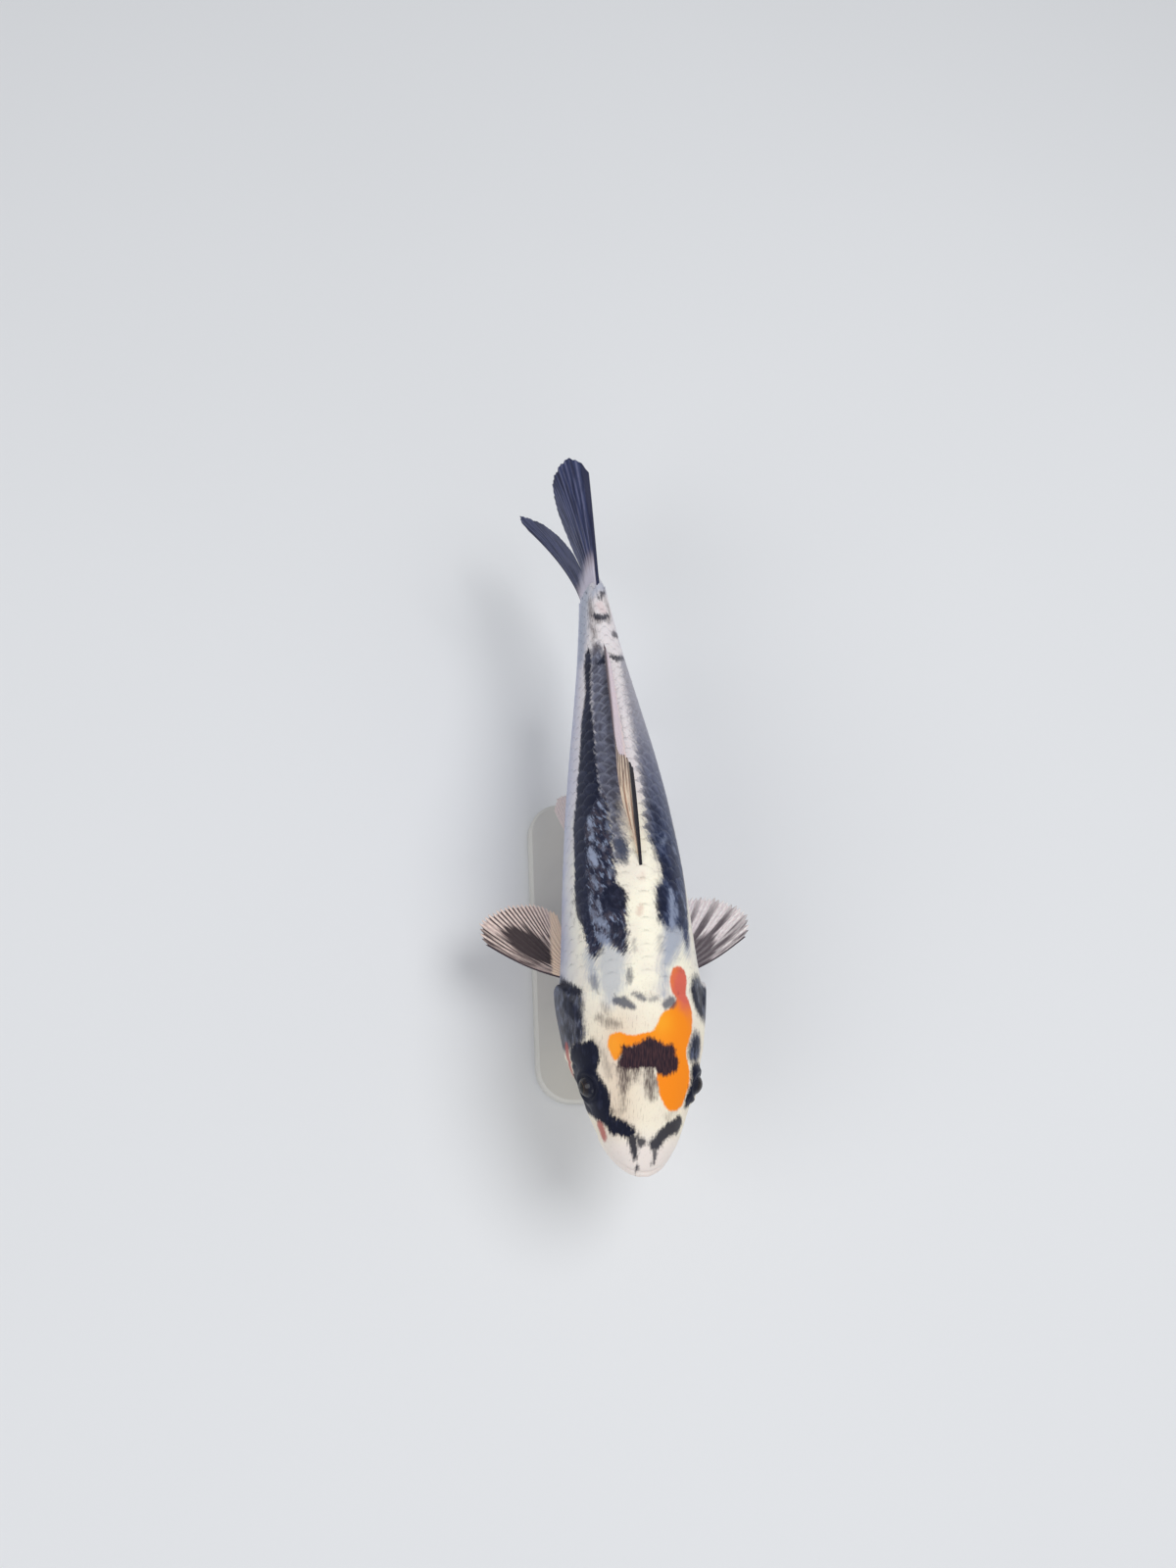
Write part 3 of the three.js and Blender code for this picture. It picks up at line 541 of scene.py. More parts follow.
def markings(station, share):
    """Named layers of the pattern at places on the body, as arrays."""
    around = mm_round(station, share)
    layers = {}
    for label, marks in MARKS.items():
        layers[label], layers[f"{label}_strength"] = marks_layer(mm_behind(station), around, marks)
    # The left strips fade towards the tail, and the ink is thinner where the strips begin.
    left = around > 0
    layers["navy_strength"] *= np.where(left, smooth_step(0.72, 0.5, station), 1)
    layers["net_strength"] *= np.where(left, 0.62 + 0.3 * smooth_step(0.84, 0.62, station), 1)
    fade = 0.18 * smooth_step(0.47, 0.34, station) + 0.24 * smooth_step(0.38, 0.33, station)
    layers["ink_strength"] *= 1 - smooth_step(0.3, 0.315, station) * fade
    # Regions that tint the ground and the marks, each from 0 to 1 or a little over.
    # The flank layer darkens the sides to lilac: partly painted shade and a painted blue reflection.
    layers["flank"] = smooth_step(0.23, 0.56, np.abs(share)) * smooth_step(0.2, 0.33, station)
    # The blue layer is a painted blue reflection that tints the dark marks off the ridge of the back.
    layers["blue"] = smooth_step(0.28, 0.34, station) * np.maximum(
        0.75 * smooth_step(4, 22, -around), smooth_step(1, 12, around))
    layers["rear"] = smooth_step(0.5, 0.64, station)
    layers["snout"] = smooth_step(0.075, 0.02, station)
    layers["warmth"] = 0.8 * smooth_step(0.2, 0.275, station) + 0.42 * smooth_step(7, 15, around)
    layers["gold"] = bell(mm_behind(station, 0.216), 5) * bell(around - 4, 5)
    layers["gold"] += 0.7 * bell(mm_behind(station, 0.185), 5) * bell(around + 12, 4)
    crown = smooth_step(-14, -11, around) * smooth_step(14, 12, around)
    layers["maroon"] = crown * smooth_step(0.1, 0.13, station) * smooth_step(0.215, 0.19, station)
    layers["dirt"] = smooth_step(0.27, 0.2, station) * smooth_step(0.03, 0.08, station) * (
        0.25 + 0.5 * bell(around + 11, 7))
    return layers


# ---------------------------------------------------------------- meshes

def make_mesh(name, points, faces, layers):
    """A smooth mesh object that rides on the root body, with named float layers on its points."""
    mesh = bpy.data.meshes.new(name)
    faces = faces.tolist() if hasattr(faces, "tolist") else faces
    mesh.from_pydata(points.reshape(-1, 3).tolist(), [], faces)
    mesh.shade_smooth()
    for label, values in layers.items():
        values = np.asarray(values, np.float32)
        kind = "FLOAT_VECTOR" if values.size == 3 * len(mesh.vertices) else "FLOAT"
        layer = mesh.attributes.new(label, kind, "POINT")
        layer.data.foreach_set("vector" if kind == "FLOAT_VECTOR" else "value", values.ravel())
    mesh.update()
    piece = bpy.data.objects.new(name, mesh)
    bpy.context.scene.collection.objects.link(piece)
    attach(piece, "root")
    return piece


def grid_faces(rows, columns, closed):
    """Quads of a grid of points, row by row, whose columns may close into rings."""
    i = np.arange(rows - 1)[:, None]
    j = np.arange(columns if closed else columns - 1)[None, :]
    k = (j + 1) % columns
    corners = [i * columns + j, i * columns + k, (i + 1) * columns + k, (i + 1) * columns + j]
    return np.stack(np.broadcast_arrays(*corners), axis=-1).reshape(-1, 4)


def plate_faces(rows, columns):
    """Faces of a thin plate: its top grid, the grid under it and the rim between them."""
    count = rows * columns
    flat = grid_faces(rows, columns, closed=False)
    loop = np.concatenate([
        np.arange(columns - 1),
        np.arange(rows - 1) * columns + columns - 1,
        count - 1 - np.arange(columns - 1),
        (rows - 1 - np.arange(rows - 1)) * columns,
    ])
    following = np.roll(loop, -1)
    rim = np.stack([following, loop, loop + count, following + count], axis=-1)
    return np.concatenate([flat, flat[:, ::-1] + count, rim])


def body_place(station, share):
    """Place in the unbent body in millimetres, for textures that run along the fish."""
    station, share = np.broadcast_arrays(station, share)
    return mm_behind(np.stack([station, *section(station, angle_at(station, share))], axis=-1))


def brush_place(station, share):
    """Millimetres along and across the fine brushing of the pattern, which slants behind the nape."""
    along, around = mm_behind(station, 0.45), mm_round(station, share)
    slant = 0.5 * smooth_step(0.3, 0.38, station) * smooth_step(0.86, 0.7, station)
    cosine, sine = np.cos(slant), np.sin(slant)
    turned = (along * cosine - around * sine, along * sine + around * cosine)
    return np.stack(np.broadcast_arrays(*turned, 0.0), axis=-1)


def bake_map(piece, corners):
    """Gives a piece its OFBake map from one UV pair per face corner."""
    layer = piece.data.uv_layers.new(name="OFBake")
    layer.data.foreach_set("uv", np.asarray(corners, np.float32).ravel())


def coat_depth(station, share):
    """Depth in metres by which the skin lies under the scales."""
    start = NAPE_LINE(np.abs(wrapped(share)))
    return 0.36 * MM * smooth_step(start - 0.006, start + 0.004, station)


# The skin's rings are closer over the head, which ends at this station.
HEAD_END = 0.31
# Rings that close the snout: their size, and how far forward they move in millimetres.
SNOUT_RINGS = ((0.97, 0.45), (0.7, 0.35), (0.35, 0.2))
# Rings that thin out the stalk behind its last full section, as shares of the way to ROOT_END.
STALK_RINGS = (0.25, 0.5, 0.75, 0.97)


def build_skin(settings):
    """One unbroken skin for the head, jaw, gill covers, trunk and tail stalk."""
    front = np.linspace(SNOUT, 0, 4, endpoint=False)
    head = np.linspace(0, HEAD_END, settings.head_rings)
    trunk = np.linspace(HEAD_END, 1.0, settings.trunk_rings)[1:]
    stations = np.concatenate([front, head, trunk])
    columns = settings.round_points
    shares = -1 + 2 * np.arange(columns) / columns
    station, share = np.meshgrid(stations, shares, indexing="ij")
    points = skin_point(station, share)
    height = head_relief(station, share, points) * MM - coat_depth(station, share)
    points = points + skin_normal(station, share) * height[..., None]
    # The snout closes on a blunt point, and the stalk thins out between the tail's rays.
    first, middle = points[0], points[0].mean(axis=0)
    nose = np.stack([first + (middle - first) * s - [0, step * MM, 0] for s, step in SNOUT_RINGS])
    x, z = section(np.ones(columns), angle_at(np.ones(columns), shares))
    behind = 1 + (ROOT_END - 1) * np.array(STALK_RINGS)
    root = [beside(at, x * (1 - 0.75 * smooth_step(-0.1, 1, s)), z * (1 - 0.1 * s))
            for at, s in zip(behind, STALK_RINGS)]
    points = np.concatenate([nose, points, root])
    stations = np.concatenate([np.full(len(nose), SNOUT), stations, behind])
    station, share = np.meshgrid(stations, shares, indexing="ij")
    faces = grid_faces(len(stations), columns, closed=True)[:, ::-1]
    count = len(stations) * columns
    ends = [list(range(columns)), list(range(count - 1, count - columns - 1, -1))]
    layers = markings(station, share)
    layers["body_place"] = body_place(station, share)
    layers["brush_place"] = brush_place(station, share)
    skin = make_mesh("koi_skin", points, faces.tolist() + ends, layers)
    # The bake map unrolls the skin ring by ring, with its seam along the belly.
    row, column = faces // columns, faces % columns
    last = (column.max(axis=1) == columns - 1) & (column.min(axis=1) == 0)
    column = np.where(last[:, None] & (column == 0), columns, column)
    across = 0.01 + 0.98 * column / columns
    down = 0.01 + 0.95 * row / (len(stations) - 1)
    corners = np.stack([across, down], axis=-1).reshape(-1, 2)
    turn = np.linspace(0, 2 * math.pi, columns, endpoint=False)
    disc = np.stack([0.02 + 0.008 * np.cos(turn), 0.98 + 0.008 * np.sin(turn)], axis=-1)
    bake_map(skin, np.concatenate([corners, disc, disc + [0.03, 0]]))
    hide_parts(*FLESH)
    return skin


# ---------------------------------------------------------------- scales

# Rows of scales are counted down each side from the ridge. Row 6 is the lateral line and row 12 the
# keel of the belly.
LATERAL_ROW, LAST_ROW, LATERAL_SHARE = 6, 12, 0.47
PITCH = curve_through([(0.25, 4.2), (0.45, 4.6), (0.7, 4.3), (0.9, 3.8), (1, 3.4)])
# Grid of one scale: steps from its buried front to its free edge, and steps across it.
SCALE_STEPS, SCALE_ACROSS = 8, 10
FIRST_SCALE, LAST_SCALE = 0.235, 0.99
SCALE_THICKNESS = 0.06 * MM
# A scale reads its marks in part at its middle. This share of each is read point by point.
MARK_FOLLOW = {"ink": 0.93, "mottle": 0.9, "navy": 0.9, "net": 0.75}


def pitch(station):
    """Length of one row of scales at a station, as a share of the body's length."""
    return PITCH(station) * MM / LENGTH


def row_share(row):
    """The share of the half girth at a row, which may lie between two rows of scales."""
    upper = row * LATERAL_SHARE / LATERAL_ROW
    lower = LATERAL_SHARE + (row - LATERAL_ROW) * (1 - LATERAL_SHARE) / (LAST_ROW - LATERAL_ROW)
    blend = smooth_step(LATERAL_ROW - 3, LATERAL_ROW + 3, row)
    return upper + (lower - upper) * blend


def scale_centres():
    """Station, row and side of every scale."""
    centres, station = [], FIRST_SCALE
    while station < 1.0:
        for row in range(LAST_ROW + 1):
            place = station + (pitch(station) / 2 if row % 2 else 0)
            if NAPE_LINE(row_share(row)) + 0.004 < place < LAST_SCALE:
                sides = (1,) if row in (0, LAST_ROW) else (-1, 1)
                centres += [(place, row, side) for side in sides]
        station += pitch(station)
    return centres


def scale_sheet(centres):
    """Points, faces and layers of many scales, each a closed thin plate bowed over the skin."""
    n = len(centres)
    place, row, side = (np.array([c[k] for c in centres])[:, None, None] for k in range(3))
    chance = np.random.default_rng(7).random((n, 1, 1))
    s = np.linspace(0, 1, SCALE_STEPS + 1)[None, :, None]
    v = np.linspace(-1, 1, SCALE_ACROSS + 1)[None, None, :]
    # A scale is widest a little before its middle and rounded at both ends.
    widest = 0.45
    bulge = np.where(s > widest, (s - widest) / 0.56, (widest - s) / 0.47)
    half_rows = 0.9 * np.sqrt(np.clip(1 - bulge**2, 0.004, 1))
    station = place + (-1.0 + 2.12 * s) * pitch(place)
    share = side * row_share(row + v * half_rows)
    station, share = np.broadcast_arrays(station, share)
    base = skin_point(station, share)
    normal = skin_normal(station, share)
    # Heights over the skin in millimetres: the bowed crown, the tube of the lateral line, the slope up
    # to the free edge, which is flatter on the nape, and the front that sinks under the scale ahead.
    crown = 0.06 * (1 - v**2) - 0.06 * smooth_step(0.8, 1, s)
    tube = 0.14 * bell(v, 0.14) * smooth_step(0.3, 0.5, s) * smooth_step(0.97, 0.8, s)
    tube = np.where(row == LATERAL_ROW, tube, 0)
    rise = 0.13 + 0.11 * smooth_step(0.3, 0.6, place)
    sunk = 0.22 * np.clip(1 - s / 0.25, 0, 1)
    lift = (rise * (s - 1) - sunk + crown + tube + 0.02 * (chance - 0.5)) * MM
    top = base + normal * lift[..., None]
    under = base + normal * (lift - SCALE_THICKNESS)[..., None]
    rows, columns = SCALE_STEPS + 1, SCALE_ACROSS + 1
    count = rows * columns
    points = np.concatenate([top.reshape(n, count, 3), under.reshape(n, count, 3)], axis=1)
    one = plate_faces(rows, columns)
    faces = one[None] + (np.arange(n) * 2 * count)[:, None, None]
    mirrored = side[:, 0, 0] < 0
    faces[mirrored] = faces[mirrored][:, :, ::-1]
    layers = markings(station, share)
    for label, follow in MARK_FOLLOW.items():
        middle = layers[label][:, SCALE_STEPS // 2 + 1, SCALE_ACROSS // 2][:, None, None]
        layers[label] = follow * layers[label] + (1 - follow) * middle
    layers |= {"scale_along": s, "scale_across": v, "scale_chance": chance}
    layers = {k: np.broadcast_to(values, station.shape)[..., None] for k, values in layers.items()}
    layers |= {"body_place": body_place(station, share), "brush_place": brush_place(station, share)}
    # The underside of a scale has the same layers as its top.
    layers = {k: np.concatenate([values.reshape(n, count, -1)] * 2, axis=1) for k, values in layers.items()}
    return points, faces.reshape(-1, 4), layers, one, mirrored


def scale_cells(n, one, mirrored):
    """Bake-map corners: every scale has a cell of its own, its top above its underside and rim."""
    rows, columns = SCALE_STEPS + 1, SCALE_ACROSS + 1
    across, down = np.meshgrid(np.linspace(0.06, 0.94, columns), np.linspace(0, 1, rows))
    top = np.stack([across, 0.06 + 0.7 * down], axis=-1).reshape(-1, 2)
    under = np.stack([across, 0.8 + 0.12 * down], axis=-1).reshape(-1, 2)
    cell = np.concatenate([top, under])[one]
    rim = slice(2 * (rows - 1) * (columns - 1), None)
    cell[rim] = np.array([[0.02, 0.95], [0.01, 0.95], [0.01, 0.97], [0.02, 0.97]])
    wide = math.ceil(math.sqrt(n))
    index = np.arange(n)
    corner = np.stack([index % wide, index // wide], axis=-1)[:, None, None, :]
    cells = np.broadcast_to(cell, (n,) + cell.shape).copy()
    cells[mirrored] = cells[mirrored][:, :, ::-1]
    return ((cells + corner) / wide).reshape(-1, 2)


def build_scales():
    """The scales as four joined meshes: the back and the belly of each side."""
    centres = sorted(scale_centres(), key=lambda c: c[0])
    groups = {f"scales_{part}_{side}": [] for part in ("back", "belly") for side in ("right", "left")}
    for centre in centres:
        part = "back" if centre[1] <= LATERAL_ROW else "belly"
        groups[f"scales_{part}_{'left' if centre[2] > 0 else 'right'}"].append(centre)
    pieces = []
    for name, group in groups.items():
        points, faces, layers, one, mirrored = scale_sheet(group)
        piece = make_mesh(name, points, faces, layers)
        bake_map(piece, scale_cells(len(group), one, mirrored))
        pieces.append(piece)
    return pieces


# ---------------------------------------------------------------- fins

# A fin's outline is given by curves over u, which runs from its first ray to its last. Lengths are
# shares of the body's length and angles are in degrees.
DORSAL = {
    "up": 1,
    "base": (0.47, 0.85),
    "length": curve_through(
        [(0, 0.15), (0.06, 0.146), (0.15, 0.122), (0.3, 0.094), (0.6, 0.06), (1, 0.032)]),
    "fold": curve_through([(0, 20), (0.12, 17), (0.3, 14), (0.6, 11), (1, 10)]),
    "lean": curve_through([(0, -0.014), (0.15, -0.026), (0.4, -0.022), (1, -0.008)]),
    "billow": curve_through(
        [(0, 0.004), (0.06, 0.01), (0.15, 0.02), (0.35, 0.016), (0.7, 0.006), (1, 0.002)]),
}
ANAL = {
    "up": -1,
    "base": (0.755, 0.83),
    "length": curve_through([(0, 0.118), (0.15, 0.127), (0.5, 0.1), (1, 0.065)]),
    "fold": curve_through([(0, 52), (1, 34)]),
    "lean": curve_through([(0, -0.008), (1, -0.012)]),
    "billow": curve_through([(0, 0), (1, 0)]),
}
SUNK = 0.03  # how deep in the body the dorsal and anal rays start
# The tail fin: station of its root, half its height there, its shortest ray, and the gap in its fork as
# a share of a lobe.
TAIL_ROOT, TAIL_HALF_HEIGHT, FORK_RAY, SLIT = 0.985, 0.05, 0.09, 0.015
# Spread in degrees, how fast the rays lengthen outwards, and how far and how late the inner and the
# outer rays sweep to the right.
UPPER_LOBE = {"up": 1, "spread": 28, "length": 0.232, "full": 1.9, "sweep": (0.088, 0.013),
              "power": (1.6, 1)}
LOWER_LOBE = {"up": -1, "spread": 18, "length": 0.236, "full": 1.35, "sweep": (0.095, 0.103),
              "power": (1.6, 2.1)}
# Roots of a paired fin: station and section angle in degrees of its first and last rays.
PECTORAL = {
    "root": ((0.323, 118), (0.351, 132)),
    "length": curve_through(
        [(0, 0.156), (0.08, 0.174), (0.2, 0.184), (0.5, 0.166), (0.8, 0.134), (1, 0.104)]),
    "bow": 0.009,
    "droop": 0.012,
}
PELVIC = {
    "root": ((0.545, 143), (0.575, 156)),
    "length": curve_through([(0, 0.115), (0.2, 0.13), (0.5, 0.125), (0.8, 0.105), (1, 0.08)]),
    "bow": 0.004,
    "droop": 0.004,
}
# Grid of a fin: points from one ray to the next, and points along a ray.
POINTS_PER_RAY, POINTS_ALONG_RAY = 8, 57


def lerp(ends, s):
    """A value between two ends."""
    return ends[0] + (ends[1] - ends[0]) * s


def midline_surface(fin):
    """Places on a fin that stands on the back or belly, where v runs from the root to the ray tips."""
    edge = BACK if fin["up"] > 0 else BELLY

    def surface(u, v):
        station = lerp(fin["base"], u)
        slope = np.arctan((edge(station + 0.01) - edge(station - 0.01)) / 0.02)
        angle = slope + fin["up"] * np.radians(fin["fold"](u))
        along = (fin["length"](u) + SUNK) * v - SUNK
        bow = fin["up"] * 0.01 * np.sin(math.pi * v)
        side = fin["lean"](u) * v * v - fin["billow"](u) * np.sin(math.pi * v)
        return beside(station + along * np.cos(angle), side, edge(station) + along * np.sin(angle) + bow)

    return surface


def lobe_surface(lobe):
    """Places on one lobe of the tail fin, which spreads from the stalk and sweeps to the right."""

    def surface(u, v):
        # Rays lengthen outwards from the fork, and the outermost are a little shorter than the next.
        outward = 1 - (1 - SLIT) * u
        ray = lerp((FORK_RAY, lobe["length"]), 1 - (1 - outward) ** lobe["full"])
        ray = ray * (1 - 0.14 * np.maximum(0, (outward - 0.84) / 0.16) ** 2)
        angle = np.radians(lobe["spread"]) * outward * (1 - 0.18 * v)
        along = (ray + 1 - TAIL_ROOT) * v
        swing = lerp(lobe["sweep"], outward**3)
        side = -swing * (along / 0.245) ** lerp(lobe["power"], outward) + along * math.tan(heading(1))
        root = beside(TAIL_ROOT, 0, lobe["up"] * TAIL_HALF_HEIGHT * outward)
        up = lobe["up"] * along * np.sin(angle)
        return root + LENGTH * np.stack([side, along * np.cos(angle), up], axis=-1)

    return surface


def paired_surface(fin, side, sweep, dip):
    """Places on a breast or belly fin, swept back between two angles and dipped below level."""
    tilt, level = math.sin(math.radians(dip)), math.cos(math.radians(dip))

    def surface(u, v):
        (first, first_angle), (last, last_angle) = fin["root"]
        station = lerp((first, last), u)
        angle = np.radians(lerp((first_angle, last_angle), u))
        turn = np.radians(lerp(sweep, u))
        length = fin["length"](u) * v
        out, back = length * np.cos(turn), length * np.sin(turn)
        # The root starts a little inside the body.
        x, z = section(station, angle)
        root = beside(station, side * (x - 0.0095), z + 0.006)
        rays = np.stack([side * out * level, back - fin["bow"] * np.sin(math.pi * v),
                         -tilt * (out + 0.3 * back) - fin["droop"] * v * v], axis=-1)
        return root + LENGTH * rays

    return surface


def clear_of_body(points):
    """How far points stand out from the widest part of the body, in millimetres."""
    station = points[..., 1] / LENGTH + BALANCE
    side = points[..., 0] / LENGTH - axis_side(station)
    return (np.abs(side) - HALF_WIDTH(station)) * LENGTH / MM


def build_fin(name, surface, rays, node, root=1.1, tip=0.26, notch=0.022, spine=0.0, flesh=0.0,
              flip=False):
    """A fin of raised rays with thin skin between them, whose free edge dips between the ray tips.

    The root, tip, spine and flesh are thicknesses in millimetres; flesh swells the first centimetre.
    """
    u = np.linspace(0, 1, rays * POINTS_PER_RAY + 1)[:, None]
    v = np.linspace(0, 1, POINTS_ALONG_RAY)[None, :]
    phase = u * rays
    # Rays split in two over their outer half.
    whole = np.cos(math.pi * phase) ** 2
    split = np.cos(2 * math.pi * phase) ** 2
    ridge = whole + (split - whole) * smooth_step(0.45, 0.75, v)
    # A little unevenness keeps the edge from looking cut with shears.
    wave = 0.5 * np.sin(u * 23.0) + 0.5 * np.sin(u * 57.0 + 1.3)
    reach = 1 - notch * (1 - ridge) * smooth_step(0.7, 1, v) - 0.01 * (wave + 1) * smooth_step(0.5, 1, v)
    at = v * reach
    u_grid, v_grid = np.broadcast_arrays(u, at)
    middle = surface(u_grid, v_grid)

    def moved(by_u, by_v):
        return surface(np.clip(u_grid + by_u, 0, 1), np.clip(v_grid + by_v, 0, 1))

    # Half of the thickness goes to each side, along directions from small steps over the surface.
    step = 1e-3
    normal = unit(np.cross(moved(step, 0) - moved(-step, 0), moved(0, step) - moved(0, -step)))
    taper = np.sqrt(v)
    thickness = lerp((root, tip), taper) * (0.3 + 0.7 * ridge)
    thickness = thickness + spine * bell(phase, 0.5) * (1 - 0.7 * v)
    gap = np.linalg.norm(middle - middle[:, :1], axis=-1) / MM
    thickness = thickness + flesh * bell(np.maximum(gap - 9, 0), 5) * np.sqrt(1 - (1 - u) ** 2)
    # The first and last rays are finer.
    edge = np.minimum(np.minimum(phase, rays - phase) * 3, 1)
    thickness = thickness * (0.55 + 0.45 * edge) * MM
    offset = normal * (thickness / 2)[..., None]
    top, under = middle + offset, middle - offset
    faces = plate_faces(*u_grid.shape)
    if flip:
        faces = faces[:, ::-1]
    points = np.concatenate([top.reshape(-1, 3), under.reshape(-1, 3)])
    spread = np.stack([phase + 0 * at, at * 10, 0 * u_grid], axis=-1)
    layers = {
        "ray": ridge,
        "fin_across": u_grid,
        "fin_along": at,
        "from_root": gap,
        "clear": clear_of_body(middle),
    }
    layers = {k: np.concatenate([np.broadcast_to(values, u_grid.shape)] * 2) for k, values in layers.items()}
    layers["fin_place"] = np.concatenate([spread.reshape(-1, 3)] * 2)
    fin = make_mesh(name, points, faces, layers)
    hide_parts(node)
    return fin


# ---------------------------------------------------------------- eyes and barbels

def build_eye(label, side):
    """An eyeball with a clear bulge over its pupil, set in the socket of the head."""
    centre, radius = eye_ball(label)
    rings, around = 48, 64
    polar = np.linspace(0, math.pi, rings + 1)[1:-1][:, None]
    turn = np.linspace(0, 2 * math.pi, around, endpoint=False)[None, :]
    # A bulge over the pupil has a shallow groove round it, on a ball that looks out, forwards and up.
    swell = 1 + 0.05 * bell(polar, 0.62) - 0.012 * bell(polar - 0.86, 0.1)
    axis = unit(np.array([side * 1.0, -0.22, 0.16]))
    up = unit(np.cross(axis, [0.0, 1.0, 0.0]))
    other = np.cross(axis, up)
    ball = (np.cos(polar)[..., None] * axis + (np.sin(polar) * np.cos(turn))[..., None] * up
            + (np.sin(polar) * np.sin(turn))[..., None] * other)
    points = (centre + radius * swell[..., None] * ball).reshape(-1, 3)
    tips = centre + np.array([axis * 1.05, -axis]) * radius
    points = np.concatenate([points, tips])
    body = grid_faces(rings - 1, around, closed=True)
    n = (rings - 1) * around
    ring = np.arange(around)
    following = (ring + 1) % around
    caps = [[n, b, a] for a, b in zip(ring.tolist(), following.tolist())]
    start = (rings - 2) * around
    caps += [[n + 1, start + a, start + b] for a, b in zip(ring.tolist(), following.tolist())]
    angle = np.concatenate([np.broadcast_to(polar, (rings - 1, around)).ravel(), [0, math.pi]])
    spin = np.concatenate([np.broadcast_to(turn, (rings - 1, around)).ravel(), [0, 0]])
    layers = {"from_pupil": np.degrees(angle), "eye_place": np.stack(
        [np.cos(spin) * 3, np.sin(spin) * 3, angle], axis=-1)}
    eye = make_mesh(f"eyeball_{label}", points, body[:, ::-1].tolist() + caps, layers)
    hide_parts(f"eye_{label}")
    return eye


BARBEL_RINGS, BARBEL_ROUND = 33, 14
# Root, bend and tip of each barbel: shares of the length to the left, back and up.
BARBELS = {
    "lip_right": ((-0.026, 0.016, -0.017), (-0.029, 0.018, -0.034), (-0.025, 0.036, -0.046)),
    "lip_left": ((0.026, 0.016, -0.017), (0.03, 0.016, -0.034), (0.027, 0.03, -0.047)),
    "corner_right": ((-0.049, 0.055, -0.03), (-0.058, 0.062, -0.046), (-0.062, 0.084, -0.064)),
    "corner_left": ((0.049, 0.055, -0.03), (0.066, 0.058, -0.044), (0.081, 0.072, -0.053)),
}


def build_barbel(label):
    """A soft feeler that thins to a rounded tip."""
    root, bend, tip = (np.array(corner) for corner in BARBELS[label])
    s = np.linspace(-0.05, 1, BARBEL_RINGS)[:, None]
    line = (1 - s) ** 2 * root + 2 * s * (1 - s) * bend + s**2 * tip
    line = beside(line[:, 1], line[:, 0], line[:, 2])
    along = unit(np.gradient(line, axis=0))
    across = unit(np.cross(along, [1.0, 0.2, 0.1]))
    other = np.cross(along, across)
    # It thins from root to tip in millimetres, ends round, and has faint rings.
    radius = lerp((0.75, 0.32), s) * np.sqrt(np.clip(1 - ((s - 0.9) / 0.1).clip(0) ** 2, 0.02, 1))
    radius = radius * (1 + 0.06 * np.sin(s * 60)) * MM
    turn = np.linspace(0, 2 * math.pi, BARBEL_ROUND, endpoint=False)[None, :, None]
    ring = np.cos(turn) * across[:, None] + np.sin(turn) * other[:, None]
    points = line[:, None] + radius[:, None] * ring
    faces = grid_faces(BARBEL_RINGS, BARBEL_ROUND, closed=True)
    last = BARBEL_RINGS * BARBEL_ROUND - 1
    ends = [list(range(BARBEL_ROUND)), list(range(last, last - BARBEL_ROUND, -1))]
    layers = {"along_barbel": np.broadcast_to(s, (BARBEL_RINGS, BARBEL_ROUND))}
    barbel = make_mesh(f"feeler_{label}", points, faces[:, ::-1].tolist() + ends, layers)
    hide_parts(f"barbel_{label}")
    return barbel


# ---------------------------------------------------------------- node helpers

def srgb(red, green, blue):
    """A colour written as 0 to 255 screen values."""
    channels = [c / 255 for c in (red, green, blue)]
    return tuple(c / 12.92 if c <= 0.04045 else ((c + 0.055) / 1.055) ** 2.4 for c in channels) + (1.0,)


